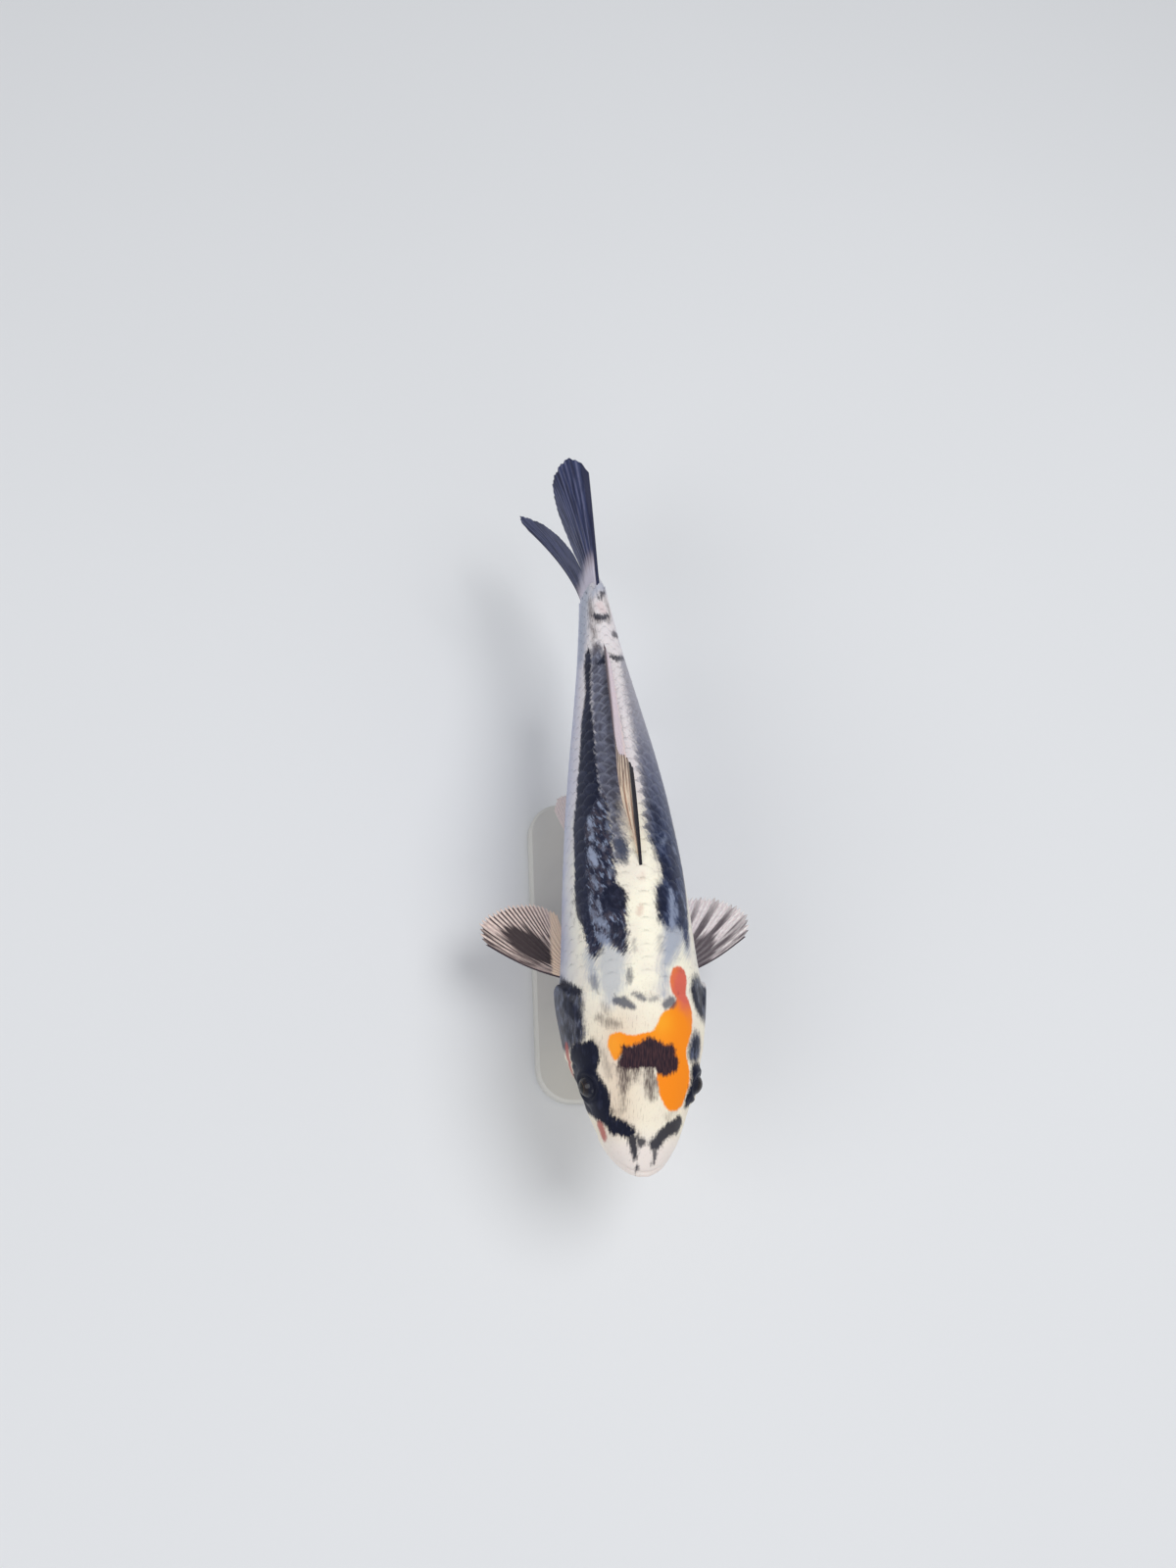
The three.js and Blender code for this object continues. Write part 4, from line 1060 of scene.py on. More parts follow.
class Tree:
    """Short calls that add and join nodes in one tree."""

    def __init__(self, tree):
        self.tree = tree

    def node(self, kind, **settings):
        node = self.tree.nodes.new(kind)
        for label, value in settings.items():
            setattr(node, label, value)
        return node

    def feed(self, socket, value):
        """Links a socket to another one, or sets its plain value."""
        if isinstance(value, bpy.types.NodeSocket):
            self.tree.links.new(value, socket)
        else:
            socket.default_value = value

    def fill(self, node, values):
        """Feeds inputs of a node by name or number, with links or with plain values."""
        for label, value in values.items():
            self.feed(node.inputs[label], value)
        return node.outputs

    def made(self, kind, values, output=0, **settings):
        """One output of a new node."""
        return self.fill(self.node(kind, **settings), values)[output]

    def object_place(self):
        return self.node("ShaderNodeTexCoord").outputs["Object"]

    def math(self, operation, *values):
        return self.made("ShaderNodeMath", dict(enumerate(values)), operation=operation)

    def times(self, first, second):
        return self.math("MULTIPLY", first, second)

    def sum_of(self, value, factor, start):
        """The value times a factor, added to a start."""
        return self.math("MULTIPLY_ADD", value, factor, start)

    def centred(self, noise):
        """A noise moved to vary on both sides of zero."""
        return self.math("SUBTRACT", noise, 0.5)

    def ramp(self, value, low, high, to_low=0.0, to_high=1.0):
        """A smooth rise from to_low at the low end to to_high at the high end."""
        inputs = {"Value": value, "From Min": low, "From Max": high, "To Min": to_low, "To Max": to_high}
        return self.made("ShaderNodeMapRange", inputs, interpolation_type="SMOOTHSTEP")

    def mix(self, factor, first, second, blend="MIX"):
        """A colour between two, or their product with blend MULTIPLY."""
        return self.made("ShaderNodeMix", {0: factor, 6: first, 7: second}, 2, data_type="RGBA",
                         blend_type=blend)

    def layer(self, name, output="Fac"):
        """A named layer of the mesh: a number, or a vector with output Vector."""
        return self.node("ShaderNodeAttribute", attribute_name=name).outputs[output]

    def stretch(self, vector, factors):
        """A vector scaled axis by axis."""
        return self.made("ShaderNodeVectorMath", {0: vector, 1: factors}, operation="MULTIPLY")

    def noise(self, vector, scale, detail, roughness=0.5):
        inputs = {"Vector": vector, "Scale": scale, "Detail": detail, "Roughness": roughness}
        return self.made("ShaderNodeTexNoise", inputs, "Fac")

    def bump(self, height, strength, distance):
        inputs = {"Height": height, "Strength": strength, "Distance": distance}
        return self.made("ShaderNodeBump", inputs, "Normal")


def new_group(name, inputs, outputs):
    """An empty shader group, its tree helper, its input sockets and its output sockets."""
    group = bpy.data.node_groups.new(name, "ShaderNodeTree")
    for label, kind, default in inputs:
        socket = group.interface.new_socket(label, in_out="INPUT", socket_type=kind)
        socket.default_value = default
    for label, kind in outputs:
        group.interface.new_socket(label, in_out="OUTPUT", socket_type=kind)
    tree = Tree(group)
    return group, tree, tree.node("NodeGroupInput").outputs, tree.node("NodeGroupOutput").inputs


def new_material(name):
    """A material with one Principled shader: returns it, its tree helper and the shader."""
    material = bpy.data.materials.new(name)
    material.use_nodes = True
    tree = Tree(material.node_tree)
    shader = material.node_tree.nodes["Principled BSDF"]
    return material, tree, shader


def place_group(tree, group, **values):
    """Places a shader group with its own values and returns its outputs."""
    return tree.fill(tree.node("ShaderNodeGroup", node_tree=group), values)


# ---------------------------------------------------------------- finishes

def markings_group():
    """Cream, orange, ink and slate pattern of the body, with some painted shade and a painted blue
    reflection, read from the named layers.
    """
    inputs = (
        ("Cream", "NodeSocketColor", srgb(250, 244, 226)),
        ("Orange", "NodeSocketColor", srgb(250, 143, 44)),
        ("Ink", "NodeSocketColor", srgb(40, 42, 62)),
        ("Rim", "NodeSocketFloat", 0.0),
        ("Chance", "NodeSocketFloat", 0.5),
    )
    group, t, given, result = new_group("Koi Markings And Painted Shade", inputs, (("Color", "NodeSocketColor"),))
    place = t.layer("body_place", "Vector")
    brush = t.layer("brush_place", "Vector")
    streaks = t.noise(t.stretch(brush, (0.32, 1.15, 1.0)), 1.0, 2.0, 0.5)
    hairs = t.noise(t.stretch(brush, (0.34, 2.1, 1.0)), 1.0, 2.0, 0.5)
    fine = t.noise(place, 1.3, 2.0, 0.5)
    blotch = t.noise(t.stretch(brush, (0.22, 0.5, 1.0)), 1.0, 3.0, 0.6)
    flecks = t.noise(t.stretch(brush, (0.34, 0.84, 1.0)), 1.0, 3.0, 0.55)
    broad = t.noise(place, 0.12, 2.0, 0.5)
    spread, grit = t.centred(streaks), t.centred(fine)

    def mask(layer, soft, streak, grain):
        """Where a mark shows: its depth, roughened in millimetres by streaks and grain."""
        edge = t.sum_of(spread, streak, t.layer(layer))
        edge = t.sum_of(grit, grain, edge)
        return t.times(t.ramp(edge, -soft, soft), t.layer(layer + "_strength"))

    # Ground: cream on the back and head, lilac-white on the stalk, and on the flanks a darker blue-lilac
    # that is partly painted shade and a painted blue reflection, with faint blotches.
    ground = t.mix(t.ramp(broad, 0.35, 0.75), given["Cream"], srgb(244, 235, 220))
    ground = t.mix(t.layer("snout"), ground, srgb(240, 229, 222))
    ground = t.mix(t.times(t.layer("rear"), 0.7), ground, srgb(226, 219, 230))
    flank = t.times(t.layer("flank"), t.ramp(broad, 0.1, 0.6, 0.75, 1.0))
    ground = t.mix(flank, ground, srgb(180, 184, 208))
    ground = t.mix(t.times(t.ramp(fine, 0.55, 0.75), 0.16), ground, srgb(176, 158, 150))
    ground = t.mix(t.times(t.layer("dirt"), 0.85), ground, srgb(222, 196, 172))
    dirt = t.times(t.ramp(hairs, 0.56, 0.78), t.layer("dirt"))
    ground = t.mix(dirt, ground, srgb(128, 112, 104))
    # Grey-lilac clouds, which are painted shade where they lie along the sides of the stalk.
    cloud = t.ramp(t.sum_of(spread, 5.0, t.layer("cloud")), -2.5, 3.6)
    cloud = t.times(cloud, t.layer("cloud_strength"))
    ground = t.mix(t.times(cloud, 0.85), ground, srgb(158, 167, 187))
    # Netted strips: grey-blue scale middles inside paler rims, made bluer by the painted blue reflection.
    tone = t.mix(t.ramp(blotch, 0.36, 0.66), srgb(44, 48, 70), srgb(96, 101, 124))
    tone = t.mix(t.times(given["Rim"], 0.4), tone, srgb(150, 154, 172))
    tone = t.mix(t.times(t.layer("blue"), 0.45), tone, srgb(66, 80, 124))
    color = t.mix(mask("net", 2.0, 3.0, 2.0), ground, tone)
    # Navy strip on the left, clouded from within and made bluer by the painted blue reflection.
    tone = t.mix(t.ramp(blotch, 0.4, 0.66), srgb(33, 37, 54), srgb(82, 88, 110))
    tone = t.mix(t.ramp(flecks, 0.56, 0.7, 0.0, 0.45), tone, srgb(130, 140, 168))
    tone = t.mix(t.times(given["Rim"], 0.2), tone, srgb(140, 150, 180))
    tone = t.mix(t.times(t.layer("blue"), 0.42), tone, srgb(50, 65, 106))
    color = t.mix(mask("navy", 1.9, 3.4, 2.0), color, tone)
    # Mottled strip on the right: ink broken by pale flecks.
    tone = t.mix(t.ramp(blotch, 0.42, 0.62), srgb(38, 41, 62), srgb(74, 69, 82))
    tone = t.mix(t.ramp(flecks, 0.52, 0.67, 0.0, 0.85), tone, srgb(138, 150, 176))
    color = t.mix(mask("mottle", 1.3, 3.4, 1.8), color, tone)
    color = t.mix(t.times(mask("pale", 0.9, 3.2, 1.0), 0.9), color, srgb(160, 170, 195))
    smudge = t.times(mask("smudge", 1.5, 3.2, 1.0), t.ramp(hairs, 0.25, 0.68, 0.5, 1.0))
    color = t.mix(smudge, color, srgb(92, 79, 76))
    # Orange runs from yellow at one side to red at the shoulder.
    warm = t.sum_of(t.centred(broad), 0.8, t.layer("warmth"))
    orange = t.mix(t.layer("gold"), given["Orange"], srgb(255, 166, 36))
    orange = t.mix(t.ramp(warm, 0.5, 1.06), orange, srgb(222, 108, 90))
    color = t.mix(mask("orange", 0.5, 0.8, 0.7), color, orange)
    color = t.mix(t.times(mask("red", 0.9, 1.0, 1.2), 0.85), color, srgb(178, 86, 80))
    color = t.mix(t.times(mask("slate", 0.9, 1.6, 1.0), 0.9), color, srgb(62, 69, 90))
    # Ink has brushed edges, a painted blue reflection off the ridge, a maroon cast on the crown and slightly
    # paler scale rims.
    ink = t.mix(t.times(t.layer("blue"), 0.7), given["Ink"], srgb(29, 36, 64))
    ink = t.mix(t.ramp(blotch, 0.5, 0.72, 0.0, 0.35), ink, srgb(62, 66, 92))
    maroon = t.mix(t.ramp(hairs, 0.35, 0.7), srgb(44, 32, 42), srgb(74, 50, 54))
    ink = t.mix(t.layer("maroon"), ink, maroon)
    ink = t.mix(t.times(given["Rim"], 0.08), ink, srgb(96, 104, 134))
    ink = t.mix(t.times(t.ramp(given["Chance"], 0.6, 1.0), 0.06), ink, srgb(96, 104, 134))
    t.feed(result["Color"], t.mix(mask("ink", 0.8, 2.6, 1.2), color, ink))
    return group


def wet_group():
    """Fine grain of wet skin: a roughness that varies a little and a height for bump."""
    inputs = (("Place", "NodeSocketVector", (0.0, 0.0, 0.0)), ("Scale", "NodeSocketFloat", 1.0),
              ("Roughness", "NodeSocketFloat", 0.3))
    outputs = (("Roughness", "NodeSocketFloat"), ("Height", "NodeSocketFloat"))
    group, t, given, result = new_group("Wet Grain", inputs, outputs)
    grain = t.noise(given["Place"], given["Scale"], 4.0)
    t.feed(result["Roughness"], t.sum_of(grain, 0.16, given["Roughness"]))
    t.feed(result["Height"], grain)
    return group


def skin_material(name, settings, groups, scaled):
    """The body's finish: the shared markings under a thin wet coat."""
    material, t, shader = new_material(name)
    place = t.layer("body_place", "Vector")
    colors = {"Cream": tuple(settings.cream) + (1.0,), "Orange": tuple(settings.orange) + (1.0,),
              "Ink": tuple(settings.ink) + (1.0,)}
    if scaled:
        # Bowed lines across a scale: painted shade over its front, where it lies under the scale ahead, its
        # fine growth ridges and its pale rim.
        across = t.layer("scale_across")
        along = t.sum_of(t.times(across, across), 0.24, t.layer("scale_along"))
        rim = t.ramp(along, 0.82, 0.98)
        look = place_group(t, groups["markings"], Rim=rim, Chance=t.layer("scale_chance"), **colors)
        # Painted shade: the front half of each scale is a little darker.
        color = t.mix(1.0, look["Color"], t.ramp(along, 0.46, 0.62, 0.965, 1.0), "MULTIPLY")
        ridges = t.math("SINE", t.times(along, 90.0))
    else:
        look = place_group(t, groups["markings"], **colors)
        color, ridges = look["Color"], 0.0
    wet = place_group(t, groups["wet"], Place=place, Scale=2.4, Roughness=0.32)
    height = t.sum_of(ridges, 0.06, wet["Height"])
    t.fill(shader, {"Base Color": color, "Roughness": wet["Roughness"],
                    "Normal": t.bump(height, 0.25, 0.00012), "Specular IOR Level": 0.1,
                    "Coat Weight": 0.1, "Coat Roughness": 0.2, "Subsurface Weight": 0.06,
                    "Subsurface Radius": (0.0016, 0.001, 0.0008)})
    return material


def patch_mask(t, patch, bars, across, along, ridge, lines, bands):
    """A solid dark patch that breaks up outwards, into bars or into streaks between the rays."""
    u, v, wide, tall = patch
    du = t.math("DIVIDE", t.math("SUBTRACT", across, u), wide)
    dv = t.math("DIVIDE", t.math("SUBTRACT", along, v), tall)
    away = t.math("SQRT", t.math("ADD", t.times(du, du), t.times(dv, dv)))
    away = t.sum_of(t.centred(bands), 1.7, away)
    away = t.sum_of(t.centred(lines), 0.8, away)
    if bars:
        turn = t.sum_of(across, bars * math.tau, t.times(bands, 5.0))
        streaked = t.times(t.ramp(t.math("SINE", turn), 0.0, 0.7), t.ramp(away, 3.4, 1.5))
    else:
        between = t.times(t.ramp(ridge, 0.6, 0.2), t.ramp(away, 3.2, 1.9))
        streaked = t.times(t.ramp(bands, 0.34, 0.54), between)
    dark = t.math("MAXIMUM", streaked, t.ramp(away, 1.25, 0.8))
    # The first rays are streaked from root to tip.
    leading = t.times(t.ramp(across, 0.24, 0.08), t.ramp(lines, 0.3, 0.7))
    return t.math("MAXIMUM", dark, leading)


def fin_material(name, groups, membrane, ray, streak, root, streaks=0.5, lead=0.0, patch=None,
                 root_end=0.3, band=0.0, bars=0, strength=0.88, rear=None, edge=srgb(34, 30, 40), base=None):
    """Rayed fin: paler skin between rays, dark streaks along them and a tinted root.

    The share of dark streaks is streaks, or patch gives a dark patch's place and size over the fin.
    Up to root_end, and up to band millimetres beside the body, the fin has its root colour. Its first
    rays, up to lead, have its edge colour, rear tints its last rays, and base its first millimetres.
    """
    material, t, shader = new_material(name)
    place = t.layer("fin_place", "Vector")
    across, along = t.layer("fin_across"), t.layer("fin_along")
    ridge = t.layer("ray")
    lines = t.noise(t.stretch(place, (1.6, 0.22, 1.0)), 1.6, 3.0, 0.55)
    bands = t.noise(t.stretch(place, (0.62, 0.1, 1.0)), 1.0, 2.0, 0.6)
    fine = t.noise(t.stretch(place, (3.0, 1.2, 1.0)), 2.0, 2.0, 0.5)
    color = t.mix(t.ramp(ridge, 0.35, 0.9), membrane, ray)
    color = t.mix(t.ramp(fine, 0.3, 0.8, 0.0, 0.3), color, streak)
    if patch:
        dark = patch_mask(t, patch, bars, across, along, ridge, lines, bands)
    else:
        dark = t.ramp(lines, 0.9 - streaks, 1.14 - streaks)
    color = t.mix(t.times(dark, strength), color, streak)
    if rear:
        tips = t.mix(t.ramp(along, 0.62, 0.92), srgb(222, 208, 218), rear)
        color = t.mix(t.times(t.ramp(along, 0.5, 1.0, 0.0, 0.7), ridge), color, rear)
        color = t.mix(t.ramp(across, 0.16, 0.34, 0.0, 0.9), color, tips)
        root = t.mix(t.ramp(across, 0.16, 0.34), root, srgb(230, 212, 210))
    inner = t.sum_of(t.centred(lines), 0.08, along)
    color = t.mix(t.ramp(inner, root_end, root_end * 0.55), color, root)
    if patch:
        ragged = t.sum_of(t.centred(lines), 2.4, t.layer("clear"))
        color = t.mix(t.ramp(ragged, band + 0.7, band - 0.7), color, root)
    if base:
        gap = t.sum_of(lines, 6.0, t.layer("from_root"))
        color = t.mix(t.ramp(gap, 21.0, 12.0), color, base)
    if lead:
        color = t.mix(t.ramp(across, lead, lead * 0.6), color, edge)
    wet = place_group(t, groups["wet"], Place=place, Scale=3.0, Roughness=0.3)
    # Fine joints across every ray.
    joints = t.times(t.math("SINE", t.times(along, 160.0)), ridge)
    height = t.sum_of(joints, 0.3, wet["Height"])
    t.fill(shader, {"Base Color": color, "Roughness": wet["Roughness"],
                    "Normal": t.bump(height, 0.3, 0.00015), "Specular IOR Level": 0.2,
                    "Coat Weight": 0.12, "Coat Roughness": 0.2, "Subsurface Weight": 0.15,
                    "Subsurface Radius": (0.001, 0.0008, 0.0007)})
    return material


def eye_material():
    """Black pupil, thin gold ring, dark flecked iris and a slate rim under a clear wet coat."""
    material, t, shader = new_material("koi eye")
    # In degrees round the ball from the middle of the pupil.
    angle = t.layer("from_pupil")
    flecks = t.noise(t.layer("eye_place", "Vector"), 2.4, 3.0)
    iris = t.mix(t.ramp(flecks, 0.35, 0.7), srgb(19, 18, 27), srgb(44, 36, 38))
    color = t.mix(t.ramp(angle, 27.0, 28.4), srgb(5, 5, 9), srgb(88, 68, 50))
    color = t.mix(t.ramp(angle, 29.0, 30.6), color, iris)
    color = t.mix(t.ramp(angle, 46.0, 54.0), color, srgb(22, 24, 40))
    t.fill(shader, {"Base Color": color, "Roughness": t.ramp(flecks, 0.2, 0.8, 0.24, 0.36),
                    "Specular IOR Level": 0.15, "Coat Weight": 0.45, "Coat Roughness": 0.03})
    return material


def barbel_material():
    """Soft pale skin, darker and specked towards the tip."""
    material, t, shader = new_material("koi barbel")
    along = t.layer("along_barbel")
    specks = t.noise(t.object_place(), 900.0, 2.0)
    color = t.mix(t.ramp(along, 0.1, 0.9), srgb(226, 208, 192), srgb(150, 128, 122))
    color = t.mix(t.ramp(specks, 0.45, 0.75, 0.0, 0.35), color, srgb(96, 82, 84))
    t.fill(shader, {"Base Color": color, "Roughness": t.ramp(specks, 0.2, 0.8, 0.28, 0.42),
                    "Coat Weight": 0.3})
    return material


def base_material():
    """Satin moulded plastic with a faint pebble and soft clouding."""
    material, t, shader = new_material("stand base plastic")
    pebble = t.noise(t.object_place(), 1400.0, 2.0)
    cloud = t.noise(t.object_place(), 40.0, 3.0)
    color = t.mix(t.ramp(cloud, 0.3, 0.75), srgb(214, 212, 206), srgb(206, 204, 199))
    t.fill(shader, {"Base Color": color, "Roughness": t.ramp(cloud, 0.2, 0.8, 0.42, 0.52),
                    "Normal": t.bump(pebble, 0.25, 0.00008)})
    return material


def rod_material():
    """Satin steel, brushed round the rod."""
    material, t, shader = new_material("stand rod steel")
    brush = t.noise(t.stretch(t.object_place(), (60.0, 60.0, 4000.0)), 1.0, 2.0)
    color = t.mix(brush, srgb(196, 196, 194), srgb(176, 177, 178))
    t.fill(shader, {"Base Color": color, "Roughness": t.ramp(brush, 0.2, 0.8, 0.26, 0.38),
                    "Normal": t.bump(brush, 0.15, 0.00005), "Metallic": 1.0})
    return material


def floor_material(color):
    """Matt studio floor with a very faint clouding."""
    material, t, shader = new_material("studio floor")
    tone = t.ramp(t.noise(t.object_place(), 3.0, 2.0), 0.3, 0.7, 0.985, 1.0)
    clouded = t.mix(1.0, tuple(color) + (1.0,), tone, "MULTIPLY")
    t.fill(shader, {"Base Color": clouded, "Roughness": 0.9, "Specular IOR Level": 0.2})
    return material


def dress(piece, material):
    """Gives a piece one material."""
    piece.data.materials.clear()
    piece.data.materials.append(material)


def shared_groups():
    """The node groups that several finishes use, made once."""
    named = {"markings": ("Koi Markings And Painted Shade", markings_group), "wet": ("Wet Grain", wet_group)}
    return {label: bpy.data.node_groups.get(title) or make() for label, (title, make) in named.items()}


# ---------------------------------------------------------------- settings and operators

class KoiBodySettings(bpy.types.PropertyGroup):
    """Fineness and main colours of the body"""
    head_rings: IntProperty(
        name="Head rings", description="Rings of the skin over the head", default=176, min=40)
    trunk_rings: IntProperty(
        name="Trunk rings", description="Rings of the skin behind the head", default=150, min=30)
    round_points: IntProperty(
        name="Points round", description="Points in each ring of skin", default=240, min=48)
    cream: FloatVectorProperty(name="Cream", description="Ground colour of the skin", subtype="COLOR",
                               default=srgb(254, 247, 226)[:3], min=0, max=1)
    orange: FloatVectorProperty(name="Orange", description="Colour of the orange marks", subtype="COLOR",
                                default=srgb(255, 144, 30)[:3], min=0, max=1)
    ink: FloatVectorProperty(name="Black", description="Colour of the black marks", subtype="COLOR",
                             default=srgb(22, 25, 43)[:3], min=0, max=1)


class KoiFinSettings(bpy.types.PropertyGroup):
    """Numbers of rays in the fins"""
    dorsal_rays: IntProperty(
        name="Dorsal rays", description="Rays of the fin on the back", default=20, min=4)
    lobe_rays: IntProperty(
        name="Tail rays", description="Rays in each lobe of the tail fin", default=10, min=4)
    pectoral_rays: IntProperty(
        name="Pectoral rays", description="Rays of each breast fin", default=12, min=4)
    pelvic_rays: IntProperty(
        name="Pelvic rays", description="Rays of each belly fin", default=9, min=4)
    anal_rays: IntProperty(
        name="Anal rays", description="Rays of the fin behind the vent", default=7, min=4)


class KoiStageSettings(bpy.types.PropertyGroup):
    """Place of the camera and colour of the floor"""
    azimuth: FloatProperty(name="Azimuth", description="Turn of the camera round the fish from its head",
                           subtype="ANGLE", default=math.radians(-37.07))
    elevation: FloatProperty(name="Elevation", description="Height of the camera as an angle",
                             subtype="ANGLE", default=math.radians(68.31))
    distance: FloatProperty(name="Distance", description="From the camera to the middle of the fish",
                            subtype="DISTANCE", unit="LENGTH", default=0.5682)
    floor: FloatVectorProperty(name="Floor", description="Colour of the studio floor", subtype="COLOR",
                               default=srgb(232, 233, 235)[:3], min=0, max=1)


class KOI_OT_skin(bpy.types.Operator):
    """Build the single skin of the head, gill covers, trunk and tail stalk"""
    bl_idname = "koi.build_skin"
    bl_label = "Skin"

    def execute(self, context):
        settings = context.scene.koi_body
        dress(build_skin(settings), skin_material("koi skin", settings, shared_groups(), scaled=False))
        return {"FINISHED"}


class KOI_OT_scales(bpy.types.Operator):
    """Lay the overlapping scales over the trunk and tail stalk"""
    bl_idname = "koi.build_scales"
    bl_label = "Scales"

    def execute(self, context):
        settings = context.scene.koi_body
        material = skin_material("koi scales", settings, shared_groups(), scaled=True)
        for piece in build_scales():
            dress(piece, material)
        return {"FINISHED"}


class KOI_OT_midline_fins(bpy.types.Operator):
    """Build the dorsal, anal and tail fins"""
    bl_idname = "koi.build_midline_fins"
    bl_label = "Dorsal, anal and tail fins"

    def execute(self, context):
        settings, groups = context.scene.koi_fins, shared_groups()
        dorsal = build_fin("dorsal_rays", midline_surface(DORSAL), settings.dorsal_rays, "dorsal_fin",
                           root=1.2, spine=0.9)
        dress(dorsal, fin_material("dorsal fin skin", groups, srgb(250, 228, 202), srgb(190, 150, 126),
                                   srgb(92, 70, 70), srgb(236, 208, 184), streaks=0.4, lead=0.052,
                                   rear=srgb(92, 82, 92)))
        anal = build_fin("anal_rays", midline_surface(ANAL), settings.anal_rays, "anal_fin", notch=0.012,
                         flip=True)
        dress(anal, fin_material("anal fin skin", groups, srgb(226, 218, 216), srgb(238, 226, 214),
                                 srgb(184, 172, 178), srgb(222, 214, 214), streaks=0.3))
        tail = fin_material("tail fin skin", groups, srgb(57, 66, 104), srgb(102, 105, 138),
                            srgb(32, 37, 66), srgb(146, 130, 138), lead=0.07, root_end=0.36,
                            edge=srgb(36, 40, 70), base=srgb(204, 198, 212))
        for name, lobe, node in (("tail_rays_upper", UPPER_LOBE, "tail_fin_upper"),
                                 ("tail_rays_lower", LOWER_LOBE, "tail_fin_lower")):
            dress(build_fin(name, lobe_surface(lobe), settings.lobe_rays, node, root=1.6, tip=0.3,
                            notch=0.009, spine=0.5, flesh=1.5, flip=lobe["up"] < 0), tail)
        return {"FINISHED"}


class KOI_OT_paired_fins(bpy.types.Operator):
    """Build the two breast fins and the two belly fins"""
    bl_idname = "koi.build_paired_fins"
    bl_label = "Breast and belly fins"

    def execute(self, context):
        settings, groups = context.scene.koi_fins, shared_groups()
        root, edge = srgb(255, 226, 200), srgb(62, 50, 58)
        right = fin_material("right breast fin skin", groups, srgb(234, 208, 200), srgb(255, 234, 222),
                             srgb(42, 31, 38), root, lead=0.026, patch=(0.35, 0.5, 0.22, 0.29),
                             root_end=0.2, band=1.0, strength=0.94, edge=edge)
        left = fin_material("left breast fin skin", groups, srgb(242, 228, 228), srgb(255, 248, 244),
                            srgb(62, 48, 58), root, lead=0.026, patch=(0.3, 0.34, 0.3, 0.24),
                            root_end=0.12, band=-1.0, bars=6, edge=edge)
        belly = fin_material("belly fin skin", groups, srgb(230, 216, 214), srgb(242, 226, 218),
                             srgb(160, 140, 144), root, streaks=0.3)
        # Kind, side, outline, direction, sweep and dip in degrees, and finish.
        builds = (
            ("pectoral", "right", PECTORAL, -1, (28, 76), 14, right),
            ("pectoral", "left", PECTORAL, 1, (29, 79), -2, left),
            ("pelvic", "right", PELVIC, -1, (68, 97), 30, belly),
            ("pelvic", "left", PELVIC, 1, (68, 97), 30, belly),
        )
        for kind, label, fin, side, sweep, dip, material in builds:
            wide = fin is PECTORAL
            rays, notch = (settings.pectoral_rays, 0.045) if wide else (settings.pelvic_rays, 0.022)
            piece = build_fin(f"{kind}_rays_{label}", paired_surface(fin, side, sweep, dip), rays,
                              f"{kind}_fin_{label}", notch=notch, spine=0.3, flip=side > 0)
            dress(piece, material)
        return {"FINISHED"}


class KOI_OT_eyes(bpy.types.Operator):
    """Build both eyeballs"""
    bl_idname = "koi.build_eyes"
    bl_label = "Eyes"

    def execute(self, context):
        material = eye_material()
        for label, side in (("right", -1), ("left", 1)):
            dress(build_eye(label, side), material)
        return {"FINISHED"}


class KOI_OT_barbels(bpy.types.Operator):
    """Build the two pairs of barbels at the mouth"""
    bl_idname = "koi.build_barbels"
    bl_label = "Barbels"

    def execute(self, context):
        material = barbel_material()
        for label in BARBELS:
            dress(build_barbel(label), material)
        return {"FINISHED"}


class KOI_OT_stand(bpy.types.Operator):
    """Finish the base and rods of the display stand"""
    bl_idname = "koi.finish_stand"
    bl_label = "Stand"

    def execute(self, context):
        dress(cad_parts["stand_base"], base_material())
        steel = rod_material()
        for node in ("stand_rod_front", "stand_rod_rear"):
            dress(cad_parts[node], steel)
        return {"FINISHED"}


# The camera looks a little to one side of the middle of the fish: turns in radians about its own
# upward axis and sideways axis, and its roll.
CAMERA_PAN, CAMERA_TILT, CAMERA_ROLL = 0.0214, 0.0544, 0.0547
# Soft lamps: name, place, width in metres and power in watts.
LAMPS = (
    ("key_lamp", (0.35, 0.15, 1.1), 0.7, 5.6),
    ("side_lamp", (-0.9, -0.3, 0.8), 0.8, 3.2),
    ("front_lamp", (0.2, -1.0, 0.6), 0.8, 1.8),
)
LAMP_AIM = (0, 0, 0.05)
FLOOR_HALF_WIDTH = 4.0
SKY_COLOR, SKY_STRENGTH = (0.93, 0.96, 1.0, 1.0), 0.42


def stage_camera(settings):
    """A camera that looks down on the fish from over its right shoulder."""
    across, rise, level = settings.azimuth, settings.elevation, math.cos(settings.elevation)
    offset = Vector((math.sin(across) * level, -math.cos(across) * level, math.sin(rise)))
    target = Vector((axis_side(0) * LENGTH, (0.5 - BALANCE) * LENGTH, AXIS_HEIGHT))
    back = offset.copy()
    right = (-back).cross(Vector((0, 1, 0))).normalized()
    up = right.cross(-back)
    for axis, turn in ((up, CAMERA_PAN), (right, CAMERA_TILT)):
        swing = Matrix.Rotation(turn, 3, axis)
        back, right, up = swing @ back, swing @ right, swing @ up
    roll = Matrix.Rotation(CAMERA_ROLL, 3, -back)
    right, up = roll @ right, roll @ up
    data = bpy.data.cameras.new("koi_camera")
    data.sensor_width, data.lens = 36, 36
    camera = bpy.data.objects.new("koi_camera", data)
    turned = Matrix((right, up, back)).transposed().to_4x4()
    turned.translation = target + offset * settings.distance
    camera.matrix_world = turned
    bpy.context.scene.collection.objects.link(camera)
    bpy.context.scene.camera = camera


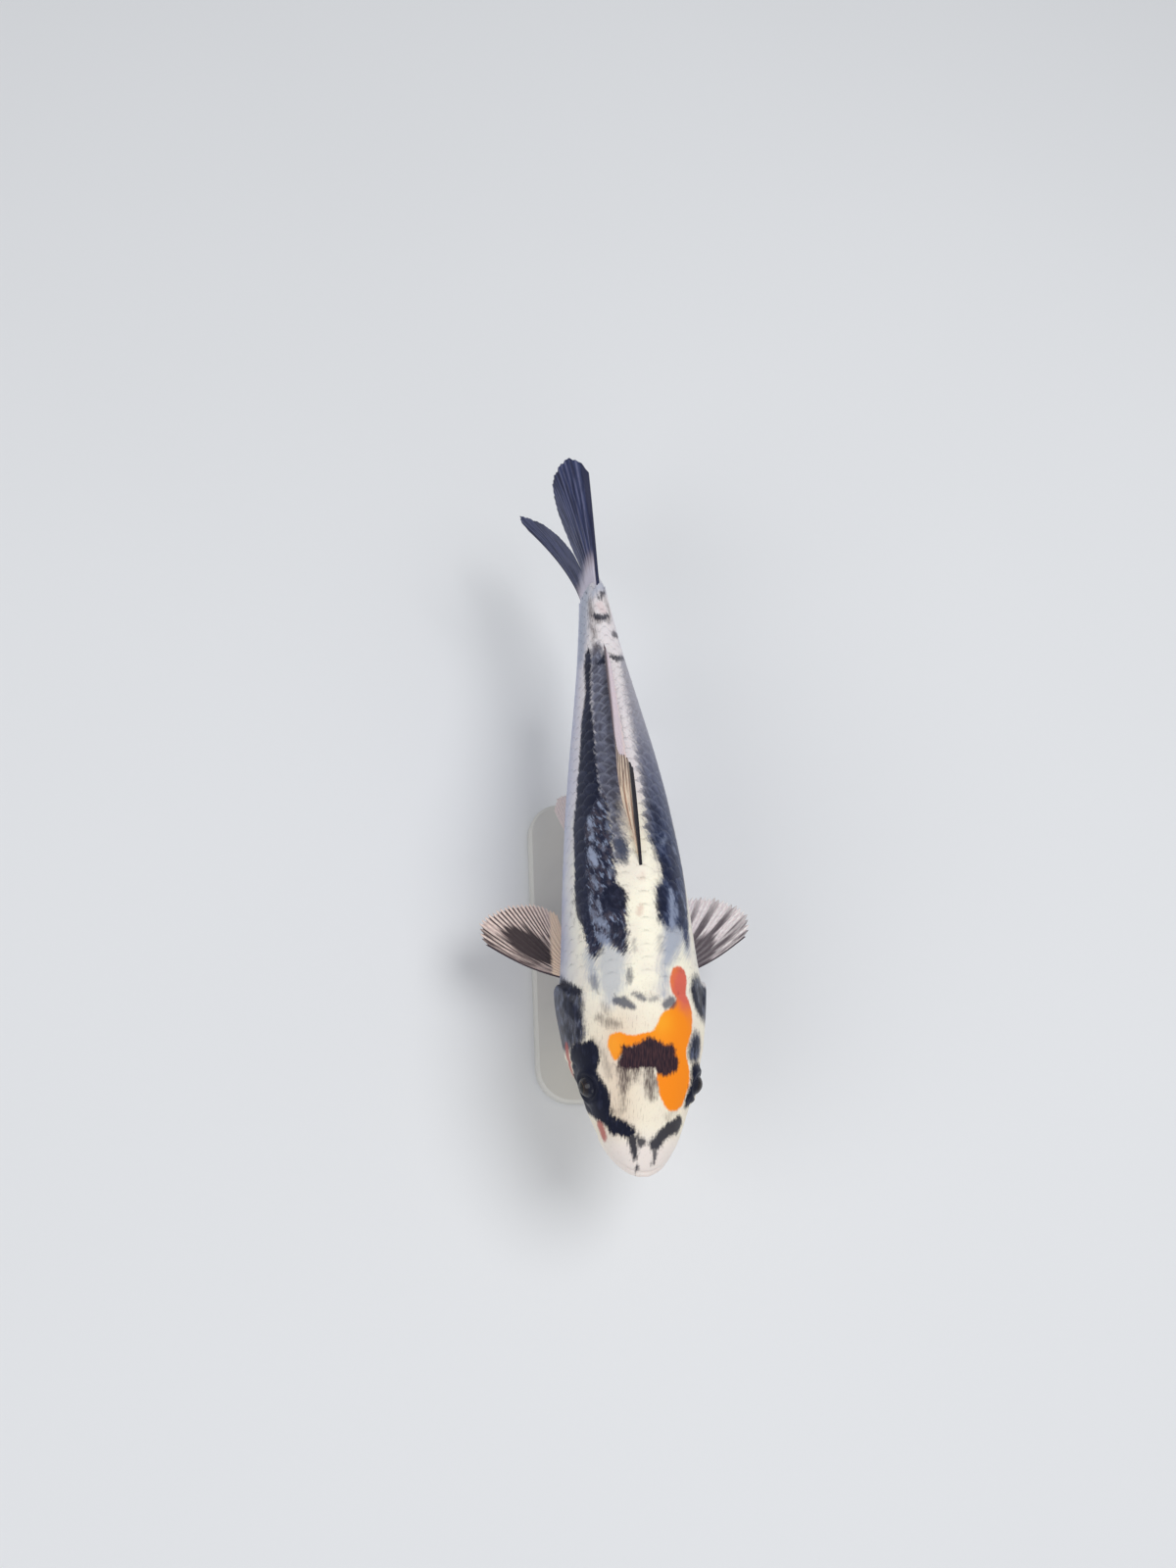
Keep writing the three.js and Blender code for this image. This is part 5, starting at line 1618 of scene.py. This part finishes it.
def stage_lamp(name, place, size, power):
    """A round soft lamp that points at the fish."""
    data = bpy.data.lights.new(name, "AREA")
    data.shape, data.size, data.energy = "DISK", size, power
    lamp = bpy.data.objects.new(name, data)
    lamp.location = place
    lamp.rotation_euler = (Vector(LAMP_AIM) - Vector(place)).to_track_quat("-Z", "Y").to_euler()
    bpy.context.scene.collection.objects.link(lamp)


class KOI_OT_stage(bpy.types.Operator):
    """Set the floor, soft lamps, world and camera"""
    bl_idname = "koi.set_stage"
    bl_label = "Stage"

    def execute(self, context):
        settings = context.scene.koi_stage
        stage_camera(settings)
        floor_mesh = bpy.data.meshes.new("floor")
        corners = [(x * FLOOR_HALF_WIDTH, y * FLOOR_HALF_WIDTH, 0)
                   for x, y in ((-1, -1), (1, -1), (1, 1), (-1, 1))]
        floor_mesh.from_pydata(corners, [], [(0, 1, 2, 3)])
        floor = bpy.data.objects.new("floor", floor_mesh)
        context.scene.collection.objects.link(floor)
        dress(floor, floor_material(settings.floor))
        for lamp in LAMPS:
            stage_lamp(*lamp)
        world = bpy.data.worlds.new("studio")
        context.scene.world = world
        world.use_nodes = True
        sky = world.node_tree.nodes["Background"]
        Tree(world.node_tree).fill(sky, {"Color": SKY_COLOR, "Strength": SKY_STRENGTH})
        context.scene.view_settings.view_transform = "Standard"
        return {"FINISHED"}


BUILD_STEPS = (
    KOI_OT_stage,
    KOI_OT_skin,
    KOI_OT_scales,
    KOI_OT_midline_fins,
    KOI_OT_paired_fins,
    KOI_OT_eyes,
    KOI_OT_barbels,
    KOI_OT_stand,
)


class KOI_PT_panel(bpy.types.Panel):
    """Settings and building steps of the koi"""
    bl_idname = "KOI_PT_panel"
    bl_label = "Koi Carp"
    bl_space_type = "VIEW_3D"
    bl_region_type = "UI"
    bl_category = "Koi"

    def draw(self, context):
        for group in (context.scene.koi_body, context.scene.koi_fins, context.scene.koi_stage):
            box = self.layout.box()
            for name in group.bl_rna.properties.keys():
                if name not in ("rna_type", "name"):
                    box.prop(group, name)
        for step in BUILD_STEPS:
            self.layout.operator(step.bl_idname)


GROUPS = {"koi_body": KoiBodySettings, "koi_fins": KoiFinSettings, "koi_stage": KoiStageSettings}
CLASSES = tuple(GROUPS.values()) + BUILD_STEPS + (KOI_PT_panel,)


def register():
    """Adds the classes, and the settings to the scene."""
    for cls in CLASSES:
        bpy.utils.register_class(cls)
    for name, group in GROUPS.items():
        setattr(bpy.types.Scene, name, PointerProperty(type=group))


def unregister():
    """Takes the settings and the classes away again."""
    for name in GROUPS:
        delattr(bpy.types.Scene, name)
    for cls in reversed(CLASSES):
        bpy.utils.unregister_class(cls)


def main():
    """Builds the whole model."""
    register()
    for step in BUILD_STEPS:
        family, action = step.bl_idname.split(".")
        getattr(getattr(bpy.ops, family), action)()


if __name__ == "__main__":
    main()
